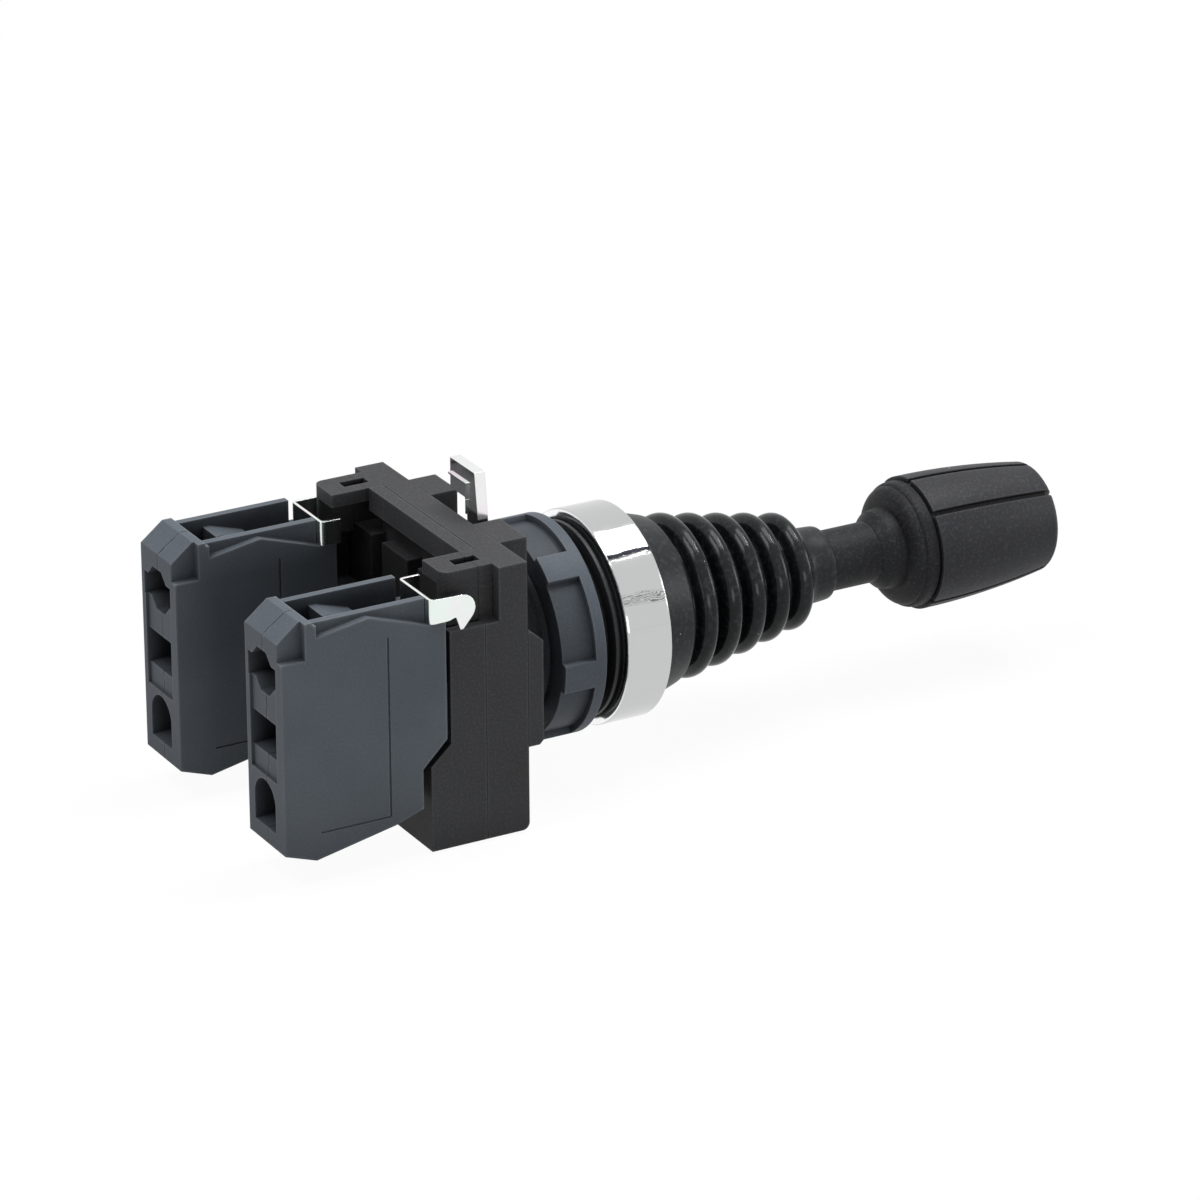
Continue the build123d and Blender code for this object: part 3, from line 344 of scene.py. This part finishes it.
def occlusion(tree, reach, inside=False):
    """How open the surface is within reach: 1 in the open, 0 deep in a recess."""
    node = tree.nodes.new("ShaderNodeAmbientOcclusion")
    node.samples = 6
    node.inside = inside
    node.only_local = inside
    feed(tree, node.inputs["Distance"], reach)
    return node.outputs["AO"]


finish, given, made = new_group(
    "moulded_finish_and_shade",
    [("Colour", COLOUR, (0.1, 0.1, 0.1, 1)), ("Patches", FLOAT, 0.02),
     ("Grain size", FLOAT, 4000.0), ("Roughness", FLOAT, 0.5), ("Spread", FLOAT, 0.08),
     ("Recess shade", FLOAT, 0.5), ("Reach", FLOAT, 0.003), ("Edge highlight", FLOAT, 0.1)],
    [("Colour", COLOUR), ("Roughness", FLOAT), ("Height", FLOAT)],
)
point = here(finish)
fine = noise(finish, point, given["Grain size"])
patch = spread_out(finish, noise(finish, point, PATCH_SIZE, 4.0), 0.3, 0.7)
grit = spread_out(finish, fine, 0.5, 0.75, 0.0, GRIT)
pale = calc(finish, "ADD", calc(finish, "MULTIPLY", patch, given["Patches"]), grit)
# Painted highlight: outer edges, found by inside Ambient Occlusion, mix towards the pale colour.
edge_highlight_mask = spread_out(finish, occlusion(finish, EDGE_HIGHLIGHT_REACH, inside=True), 0.75, 0.35)
edge_highlight_mask = calc(finish, "MULTIPLY", edge_highlight_mask, given["Edge highlight"])
worn = mix_colour(finish, calc(finish, "ADD", pale, edge_highlight_mask), given["Colour"], PALE_WEAR_AND_HIGHLIGHT)
# Painted shade: where the surface is enclosed, the colour is mixed towards black.
shut = calc(finish, "SUBTRACT", 1.0, occlusion(finish, given["Reach"]))
shade = calc(finish, "MULTIPLY", shut, given["Recess shade"])
feed(finish, made["Colour"], mix_colour(finish, shade, worn, (0.0, 0.0, 0.0)))
feed(finish, made["Roughness"],
     calc(finish, "MULTIPLY_ADD", patch, given["Spread"], given["Roughness"]))
feed(finish, made["Height"], fine)
print("group", finish.name)

# %% [markdown]
# Rubber draws dust out of the air. It sits as a few small pale specks, never evenly. Such specks
# could be scattered as tiny pieces, but a mask costs nothing: they are the middles of scattered
# cells of a Voronoi pattern, and most cells stay empty.

# %% Group: dust specks
DUST_CELLS = 500.0
SPECK_LEAST, SPECK_SPREAD = 0.03, 0.06

dust, given, made = new_group("dust_specks",
                              [("Size", FLOAT, DUST_CELLS), ("Share", FLOAT, 0.3)],
                              [("Mask", FLOAT)])
cells = dust.nodes.new("ShaderNodeTexVoronoi")
feed(dust, cells.inputs["Vector"], here(dust))
feed(dust, cells.inputs["Scale"], given["Size"])
tone = dust.nodes.new("ShaderNodeSeparateColor")
feed(dust, tone.inputs[0], cells.outputs["Color"])
chosen = calc(dust, "LESS_THAN", tone.outputs[0], given["Share"])
width = calc(dust, "MULTIPLY_ADD", tone.outputs[1], SPECK_SPREAD, SPECK_LEAST)
speck = calc(dust, "LESS_THAN", cells.outputs["Distance"], width)
feed(dust, made["Mask"], calc(dust, "MULTIPLY", chosen, speck))
print("group", dust.name)

# %% [markdown]
# An injection-moulded edge has a small radius that catches a line of light. The solids are sharp
# there, and bevelling every edge would add many faces. A Bevel node rounds only the shading of
# each edge, and the grain's bump goes on top of that normal.

# %% Plastic and rubber materials
DUST_COLOUR = (0.6, 0.6, 0.6)


def new_material(name):
    """A material with nodes, its tree and its Principled shader."""
    material = bpy.data.materials.new(name)
    material.use_nodes = True
    return material, material.node_tree, material.node_tree.nodes["Principled BSDF"]


def round_and_bump(tree, shader, edge, height, depth):
    """Round the shading of the edges, with a bump on top."""
    rounded = tree.nodes.new("ShaderNodeBevel")
    rounded.samples = 4
    rounded.inputs["Radius"].default_value = edge
    bump = tree.nodes.new("ShaderNodeBump")
    bump.inputs["Distance"].default_value = depth
    feed(tree, bump.inputs["Height"], height)
    feed(tree, bump.inputs["Normal"], rounded.outputs["Normal"])
    feed(tree, shader.inputs["Normal"], bump.outputs["Normal"])


def moulded(name, colour, roughness, patches=0.02, grain_size=3200.0, grain_depth=0.00003,
            edge=0.00025, spread=0.08, specular=0.2, recess=0.6, reach=0.003, edge_highlight=0.06,
            dusty=0.0):
    """Moulded plastic or rubber: grain, patches, rounded edges, painted shade, edge highlights."""
    material, tree, shader = new_material(name)
    shader.inputs["Specular IOR Level"].default_value = specular
    effect = tree.nodes.new("ShaderNodeGroup")
    effect.node_tree = finish
    settings = {"Colour": (*colour, 1), "Patches": patches, "Grain size": grain_size,
                "Roughness": roughness, "Spread": spread, "Recess shade": recess, "Reach": reach,
                "Edge highlight": edge_highlight}
    for socket, value in settings.items():
        effect.inputs[socket].default_value = value
    seen = effect.outputs["Colour"]
    if dusty:
        specks = tree.nodes.new("ShaderNodeGroup")
        specks.node_tree = dust
        specks.inputs["Share"].default_value = dusty
        seen = mix_colour(tree, specks.outputs["Mask"], seen, DUST_COLOUR)
    feed(tree, shader.inputs["Base Color"], seen)
    feed(tree, shader.inputs["Roughness"], effect.outputs["Roughness"])
    round_and_bump(tree, shader, edge, effect.outputs["Height"], grain_depth)
    return material


# The recess value sets the painted shade; the scuff value sets the painted edge highlight.
collar_black = moulded("collar_black", (0.031, 0.031, 0.033), 0.55, reach=0.006, edge_highlight=0.12)
block_slate = moulded("block_slate", (0.086, 0.101, 0.119), 0.55, patches=0.05, edge_highlight=0.25,
                      reach=0.015, recess=0.9)
nut_slate = moulded("nut_slate", (0.07, 0.083, 0.1), 0.5, patches=0.04, edge_highlight=0.15,
                    reach=0.006, recess=0.75)
head_dark = moulded("head_dark", (0.02, 0.023, 0.026), 0.45)
slider_white = moulded("slider_white", (0.55, 0.53, 0.48), 0.45, specular=0.5)
grip_black = moulded("grip_black", (0.014, 0.014, 0.0165), 0.48, grain_size=2600.0,
                     grain_depth=0.00002, edge=0.0003, dusty=0.05)
neck_black = moulded("neck_black", (0.006, 0.006, 0.007), 0.5, specular=0.15, grain_size=2600.0,
                     grain_depth=0.00002, edge=0.0003, dusty=0.05)
boot_black = moulded("boot_black", (0.009, 0.0105, 0.0115), 0.11, patches=0.01, grain_size=1500.0,
                     grain_depth=0.000006, edge=0.0002, specular=0.16, recess=1.0, reach=0.004,
                     edge_highlight=0.02, spread=0.06, dusty=0.12)
gasket_black = moulded("gasket_black", (0.014, 0.014, 0.015), 0.4, reach=0.002)
print("moulded materials", len(bpy.data.materials) - 1)

# %% [markdown]
# The nut has pockets between its lugs. They get painted shade: their colour is darker than
# that of the lugs and the flange. They could be a second material, but the nut is one moulding,
# so its colour follows the distance from the axis instead.

# %% Nut pockets: painted shade
POCKET_R = 13.85 * MM
LUG_R = 14.2 * MM
POCKET_SHADE = 0.35


def socket_into(material, name):
    """The shader's input of that name and what feeds it now."""
    slot = material.node_tree.nodes["Principled BSDF"].inputs[name]
    return slot, slot.links[0].from_socket


tree = nut_slate.node_tree
slot, nut_colour = socket_into(nut_slate, "Base Color")
reach, _ = radius(tree)
# Painted shade: inside the lugs' radius the colour is mixed towards near black by POCKET_SHADE.
low = spread_out(tree, reach, POCKET_R, LUG_R, POCKET_SHADE, 0.0)
feed(tree, slot, mix_colour(tree, low, nut_colour, (0.004, 0.005, 0.006)))
print("nut pockets below mm", round(LUG_R / MM, 2))

# %% [markdown]
# The barrel has a 22 mm thread. In the solids it is plain, because a cut helix would cost
# thousands of faces for flanks that are almost hidden. Here the flanks are a bump: a sawtooth of
# the place along the axis less the turn round it. It starts outside the head's inner radii.

# %% Barrel thread
PITCH = 1.5 * MM
THREAD_FROM_R = 10.6 * MM
THREAD_BUMP = 1.2 * MM

tree = head_dark.node_tree
slot, under = socket_into(head_dark, "Normal")
reach, turns = radius(tree)
along = split(tree, here(tree))[0]
advance = calc(tree, "SUBTRACT", calc(tree, "DIVIDE", along, PITCH), turns)
tooth = calc(tree, "PINGPONG", advance, 0.5)
outside = calc(tree, "GREATER_THAN", reach, THREAD_FROM_R)
thread_bump = tree.nodes.new("ShaderNodeBump")
thread_bump.inputs["Distance"].default_value = THREAD_BUMP
feed(tree, thread_bump.inputs["Height"], calc(tree, "MULTIPLY", tooth, outside))
feed(tree, thread_bump.inputs["Normal"], under)
feed(tree, slot, thread_bump.outputs["Normal"])
print("thread pitch mm", round(PITCH / MM, 2))

# %% [markdown]
# The boot is worn smooth on its folds, which touch each other when the lever is pushed over. It
# is dull on the cone and on the lip round the sleeve. One material serves the whole boot, because
# the place along the axis tells the folds from the dull ends.

# %% Dull ends of the boot
CONE_END, FIRST_FOLD = 12.9 * MM, 13.6 * MM
LAST_FOLD, LIP_START = 33.0 * MM, 33.8 * MM
DULL = 0.4

slot, now = socket_into(boot_black, "Roughness")
tree = boot_black.node_tree
along = split(tree, here(tree))[0]
matte = calc(tree, "MAXIMUM", spread_out(tree, along, CONE_END, FIRST_FOLD, DULL, 0.0),
             spread_out(tree, along, LAST_FOLD, LIP_START, 0.0, DULL))
feed(tree, slot, calc(tree, "MAXIMUM", now, matte))
print("boot roughness outside the folds", DULL)

# %% [markdown]
# Where two mouldings meet there is a joint too fine to model, and it shows as a dark hairline.
# Each block is split on its middle plane, and the collar has two joints across the lever's axis.
# A hairline is the band of points whose coordinate is within about a tenth of a millimetre of
# that plane, and a noise lets the blocks' line wander as the flash along a real joint does.

# %% Joint lines
BLOCK_MIDDLE = 15.0 * MM
COLLAR_JOINTS = (-16.5 * MM, -22.6 * MM)
JOINT_DARK = (0.002, 0.002, 0.002)


def joint_line(material, axis, places, half_width=0.09 * MM, wander=0.0, mirrored=False):
    """Darken the colour along planes that lie across one axis, which a noise can bend."""
    tree = material.node_tree
    slot, now = socket_into(material, "Base Color")
    value = split(tree, here(tree))[axis]
    if mirrored:
        value = calc(tree, "ABSOLUTE", value)
    ragged = calc(tree, "SUBTRACT", noise(tree, here(tree), 700.0), 0.5)
    value = calc(tree, "MULTIPLY_ADD", ragged, wander, value)
    line = 0.0
    for place in places:
        off = calc(tree, "ABSOLUTE", calc(tree, "SUBTRACT", value, place))
        line = calc(tree, "MAXIMUM", line,
                    spread_out(tree, off, half_width * 0.5, half_width, 0.8, 0.0))
    feed(tree, slot, mix_colour(tree, line, now, JOINT_DARK))


joint_line(block_slate, 1, [BLOCK_MIDDLE], half_width=0.14 * MM, wander=0.9 * MM, mirrored=True)
joint_line(collar_black, 0, COLLAR_JOINTS)
print("joint lines on", block_slate.name, collar_black.name)

# %% [markdown]
# Metals. Zinc plating on sheet steel is passivated, which gives it a weak rainbow: greenish in
# one place, pinkish in another. Turned steel shows the lathe in fine lines. All of them are a
# mirror with a little haze, so most of what they show is the room, and one function with a
# stretched noise makes the four.

# %% Metal materials


def metal(name, colour, roughness, tint=None, lines=(1.0, 1.0, 1.0), line_size=900.0, haze=0.08,
          edge=0.0001, depth=0.000004):
    """A metal with streaks along its working direction, and a second tint in soft patches."""
    material, tree, shader = new_material(name)
    shader.inputs["Metallic"].default_value = 1.0
    point = here(tree)
    streak = noise(tree, stretched(tree, point, lines), line_size, 4.0)
    cloud = spread_out(tree, noise(tree, point, 160.0), 0.35, 0.65)
    second = tint or tuple(c * 0.85 for c in colour)
    feed(tree, shader.inputs["Base Color"], mix_colour(tree, cloud, colour, second))
    feed(tree, shader.inputs["Roughness"],
         spread_out(tree, streak, 0.0, 1.0, roughness, roughness + haze))
    round_and_bump(tree, shader, edge, streak, depth)
    return material


zinc_sheet = metal("zinc_sheet", (0.82, 0.9, 0.85), 0.1, tint=(0.88, 0.8, 0.85), depth=0.000002)
turned_steel = metal("turned_steel", (0.6, 0.6, 0.62), 0.25, lines=(8.0, 1.0, 1.0))
spring_wire = metal("spring_wire", (0.5, 0.5, 0.52), 0.3)
copper_alloy = metal("copper_alloy", (0.8, 0.62, 0.36), 0.28, tint=(0.7, 0.5, 0.28))
print("metals made")

# %% [markdown]
# The bezel is a drawn ring with bright chrome on it. It has chromium's own reflectance, and
# what it mirrors comes from the lamps and the room. Arctangent takes the angle round the axis
# from the object's own y and z, from 0 degrees at the top to 180 at the bottom, and places the
# streaks below. The ring's two rims get a painted highlight, a colour of near white.

# %% Chrome
CHROMIUM = (0.55, 0.556, 0.554)

bezel_chrome, tree, shader = new_material("bezel_chrome")
shader.inputs["Metallic"].default_value = 1.0
point = here(tree)
_, side, height = split(tree, point)
angle = calc(tree, "DEGREES", calc(tree, "ARCTAN2", calc(tree, "ABSOLUTE", side), height))
print("chrome", CHROMIUM)

# %% [markdown]
# In two places the photograph shows a narrow wrinkled streak on the ring. It may be a reflection,
# and is made as creases in the plating. Its dark colour is a painted reflection in the plating,
# and a small bump wrinkles the mirror there. The first is a plain dark band and the second a
# bundle of thin dark lines, which are the lines of equal height of a noise. A second, slower
# noise bends both streaks.

# %% Chrome streaks (painted reflection) and rims (painted highlight)
STREAKS = (  # middle angle, half width in degrees, least share of the creases, strength
    (39.3, 2.4, 1.0, 1.0),
    (64.5, 3.6, 0.0, 0.8),
)
PAINTED_REFLECTION_DARK = (0.001, 0.001, 0.0015)
RIM_FROM, RIM_BACK = 14.3 * MM, 14.46 * MM

ripple = noise(tree, stretched(tree, point, (0.45, 1.0, 1.0)), 1100.0, 5.0)
contour = calc(tree, "MULTIPLY_ADD", ripple, 7.0, calc(tree, "MULTIPLY", angle, 1.1))
crease = spread_out(tree, calc(tree, "PINGPONG", contour, 0.5), 0.05, 0.3, 1.0, 0.0)
drift = calc(tree, "MULTIPLY_ADD", noise(tree, point, 220.0, 2.0), 5.0, angle)
wrinkled = streaks = 0.0
for middle_angle, half_width, whole, strength in STREAKS:
    off = calc(tree, "ABSOLUTE", calc(tree, "SUBTRACT", drift, middle_angle))
    one = spread_out(tree, off, half_width * 0.4, half_width, strength, 0.0)
    wrinkled = calc(tree, "MAXIMUM", wrinkled, one)
    reflection_lines = calc(tree, "MULTIPLY", one, calc(tree, "MAXIMUM", crease, whole))
    streaks = calc(tree, "MAXIMUM", streaks, reflection_lines)
reach, _ = radius(tree)
# Painted highlight: near the axis the rims' colour is raised to near white.
rim_highlight = spread_out(tree, reach, RIM_FROM, RIM_BACK, 1.0, 0.0)
# Painted reflection: the streaks mix the plating's colour towards near black.
plate = mix_colour(tree, streaks, CHROMIUM, PAINTED_REFLECTION_DARK)
feed(tree, shader.inputs["Base Color"], mix_colour(tree, rim_highlight, plate, (0.95, 0.95, 0.95)))
feed(tree, shader.inputs["Roughness"], spread_out(tree, ripple, 0.3, 0.7, 0.05, 0.12))
round_and_bump(tree, shader, 0.0003, calc(tree, "MULTIPLY", wrinkled, ripple), 0.00003)
print("chrome streaks", len(STREAKS))

# %% [markdown]
# Every CAD solid takes the material of what it is made of. Names on both sides of the part
# differ only in their first word, so one table by the rest of the name dresses both.

# %% Dress the CAD solids
finishes = {
    "grip": grip_black, "grip_insert": copper_alloy, "grip_neck": neck_black,
    "lever_sleeve": neck_black, "lever_shaft": turned_steel, "rocker": slider_white,
    "pivot_pin": turned_steel, "boot": boot_black, "bezel": bezel_chrome,
    "panel_gasket": gasket_black, "head_body": head_dark, "guide_plug": head_dark,
    "ring_nut": nut_slate, "collar_plate": collar_black, "collar_front": collar_black,
    "collar_rear": collar_black, "locking_lever": zinc_sheet, "pusher": slider_white,
    "pusher_spring": spring_wire, "slider": slider_white, "block_base": block_slate,
    "block_cover": block_slate, "plunger": slider_white, "contact_bridge": copper_alloy,
    "contact_spring": spring_wire, "return_spring": spring_wire,
    "upper_terminal": copper_alloy, "lower_terminal": copper_alloy,
    "clamp_washers": zinc_sheet, "terminal_screws": zinc_sheet, "block_clip": zinc_sheet,
}
for name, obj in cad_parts.items():
    plain = name.removeprefix("left_").removeprefix("right_")
    for slot in obj.material_slots:
        slot.material = finishes[plain]
print("dressed", len(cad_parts))

# %% [markdown]
# The boot is thin rubber with five round folds and deep narrow valleys between them. Such folds
# could be sculpted, but a lathe shape is exact. Half of its section is drawn as a short chain of
# points, four for each fold and two for each valley, and Spin turns it round the axis. Solidify
# gives the wall its thickness and a Subdivision Surface modifier rounds the chain into smooth
# lobes. The piece stands for the boot's solid, which is hidden.

# %% Boot
CREST_X, CREST_R, STEP, FOLD_PITCH, FOLDS = 15.8, 11.2, 0.79, 4.1, 5
CONE = [(5.35, 13.3), (7.0, 12.95), (7.9, 12.9), (8.2, 12.85), (12.2, 11.62), (12.75, 11.45),
        (13.0, 11.1), (13.7, 9.0)]
FOLD = [(-1.4, -1.3), (-0.95, -0.1), (0.7, 0.05), (1.3, -0.9)]
VALLEY_DEPTH, VALLEY_LOSS = 2.9, 0.12
LIP = [(34.0, 6.0), (34.6, 5.3), (36.0, 5.15), (38.2, 5.05), (38.45, 4.9)]
WALL = 0.7 * MM

section = list(CONE)
for fold in range(FOLDS):
    x, r = CREST_X + fold * FOLD_PITCH, CREST_R - fold * STEP
    section += [(x + forward, r + out) for forward, out in FOLD]
    if fold < FOLDS - 1:
        depth = VALLEY_DEPTH - VALLEY_LOSS * fold
        section += [(x + 1.85, r - depth), (x + 2.3, r - depth - 0.1)]
section += LIP

bm = bmesh.new()
chain = [bm.verts.new((x * MM, 0, r * MM)) for x, r in section]
for one, two in zip(chain, chain[1:]):
    bm.edges.new((one, two))
bmesh.ops.spin(bm, geom=bm.verts[:] + bm.edges[:], cent=(0, 0, 0), axis=(1, 0, 0),
               angle=2 * pi, steps=64, use_merge=True)
bmesh.ops.remove_doubles(bm, verts=bm.verts, dist=0.00001)
bmesh.ops.recalc_face_normals(bm, faces=bm.faces)
bmesh.ops.solidify(bm, geom=bm.faces[:], thickness=WALL)
boot = new_piece("rubber_boot", bm, boot_black)
boot.data.shade_smooth()
smooth = boot.modifiers.new("smooth", "SUBSURF")
smooth.levels = smooth.render_levels = 2
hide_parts("boot")
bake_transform(boot)
print("boot faces", len(boot.data.polygons))

# %% [markdown]
# Each block clip is bent from spring sheet: a web on the block's shoulder, a short leg on one
# side and a plate with a rounded end and a barb on the other. Its outline could be extruded and
# cut, but folding a flat sheet is how it is made. The sheet is three faces, its bends and the
# plate's corners are rounded with Bevel, and Solidify gives it its 0.4 mm. The second clip is the
# mirror image of the first, moved so that it lies on its own block.

# %% Block clips
SHEET = 0.4 * MM
BEND = 0.7 * MM
WEB_X, LEG_END_X = -30.75, -27.85
LEG_Y, PLATE_Y = -11.65, -20.3
SHEET_LOW_Z, SHEET_HIGH_Z = 13.1, 16.4
PLATE_CORNERS = [(-24.3, 16.3), (-24.3, 13.7), (-26.05, 11.65), (-26.45, 11.65), (-27.05, 13.5),
                 (-28.0, 13.15)]
CORNER_ROUNDS = {0: 1.9, 1: 0.8, 4: 0.25, 5: 0.4}
MIRROR_SHIFT = -1.95 * MM
SAME = 0.00001


def make_clip(name, stands_for, mirrored):
    """A bent spring clip of the left block, or its mirror image for the right one."""
    bm = bmesh.new()

    def corner(x, y, z):
        return bm.verts.new((x * MM, y * MM, z * MM))

    heights = (SHEET_LOW_Z, SHEET_HIGH_Z)
    leg = [corner(LEG_END_X, LEG_Y, z) for z in heights]
    inner = [corner(WEB_X, LEG_Y, z) for z in heights]
    outer = [corner(WEB_X, PLATE_Y, z) for z in heights]
    plate = [corner(x, PLATE_Y, z) for x, z in PLATE_CORNERS]
    bm.faces.new((leg[0], leg[1], inner[1], inner[0]))
    bm.faces.new((inner[0], inner[1], outer[1], outer[0]))
    bm.faces.new((outer[0], outer[1], *plate))
    for place, size in CORNER_ROUNDS.items():
        bmesh.ops.bevel(bm, geom=[plate[place]], offset=size * MM, offset_type="OFFSET",
                        segments=5, profile=0.5, affect="VERTICES", material=-1)
    bends = [edge for edge in bm.edges
             if all(abs(v.co.x - WEB_X * MM) < SAME for v in edge.verts)
             and abs(edge.verts[0].co.y - edge.verts[1].co.y) < SAME]
    bmesh.ops.bevel(bm, geom=bends, offset=BEND, offset_type="OFFSET", segments=4,
                    profile=0.5, affect="EDGES", material=-1)
    bmesh.ops.recalc_face_normals(bm, faces=bm.faces)
    web = max(bm.faces, key=lambda face: -face.calc_center_median().x)
    if web.normal.x > 0:
        bmesh.ops.reverse_faces(bm, faces=bm.faces)
    bmesh.ops.solidify(bm, geom=bm.faces[:], thickness=SHEET)
    if mirrored:
        bmesh.ops.scale(bm, vec=(1, -1, 1), verts=bm.verts)
        bmesh.ops.translate(bm, vec=(0, MIRROR_SHIFT, 0), verts=bm.verts)
        bmesh.ops.reverse_faces(bm, faces=bm.faces)
    piece = new_piece(name, bm, zinc_sheet)
    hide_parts(stands_for)
    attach(piece, "base")
    return piece


for name, stands_for, mirrored in (("clip_left", "left_block_clip", False),
                                   ("clip_right", "right_block_clip", True)):
    piece = make_clip(name, stands_for, mirrored)
    low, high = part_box(stands_for)
    made_low = [round(min(v.co[i] for v in piece.data.vertices) / MM, 2) for i in range(3)]
    made_high = [round(max(v.co[i] for v in piece.data.vertices) / MM, 2) for i in range(3)]
    print(name, made_low, made_high, "stands for", [round(v / MM, 2) for v in (*low, *high)])

# %% [markdown]
# The locking lever is pressed sheet. The press leaves a ridge that runs along the thumb flag and
# turns down the leg. The solid has it on the flag. The rest could be drawn as a bump, but its lit
# edge shows from far, so it is a short bar with rounded edges that swings with the lever.

# %% Ridge on the locking lever
RIDGE_SIZE = (0.4 * MM, 0.3 * MM, 2.1 * MM)
RIDGE_MIDDLE = (-15.55 * MM, -1.85 * MM, 19.7 * MM)
RIDGE_ROUND = 0.08 * MM

bm = bmesh.new()
bmesh.ops.create_cube(bm, size=1.0)
bmesh.ops.scale(bm, vec=RIDGE_SIZE, verts=bm.verts)
bmesh.ops.translate(bm, vec=RIDGE_MIDDLE, verts=bm.verts)
bmesh.ops.bevel(bm, geom=bm.edges[:], offset=RIDGE_ROUND, offset_type="OFFSET", segments=2,
                profile=0.5, affect="EDGES", material=-1)
ridge = new_piece("lock_ridge", bm, zinc_sheet)
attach(ridge, "lock")
print("ridge faces", len(ridge.data.polygons))
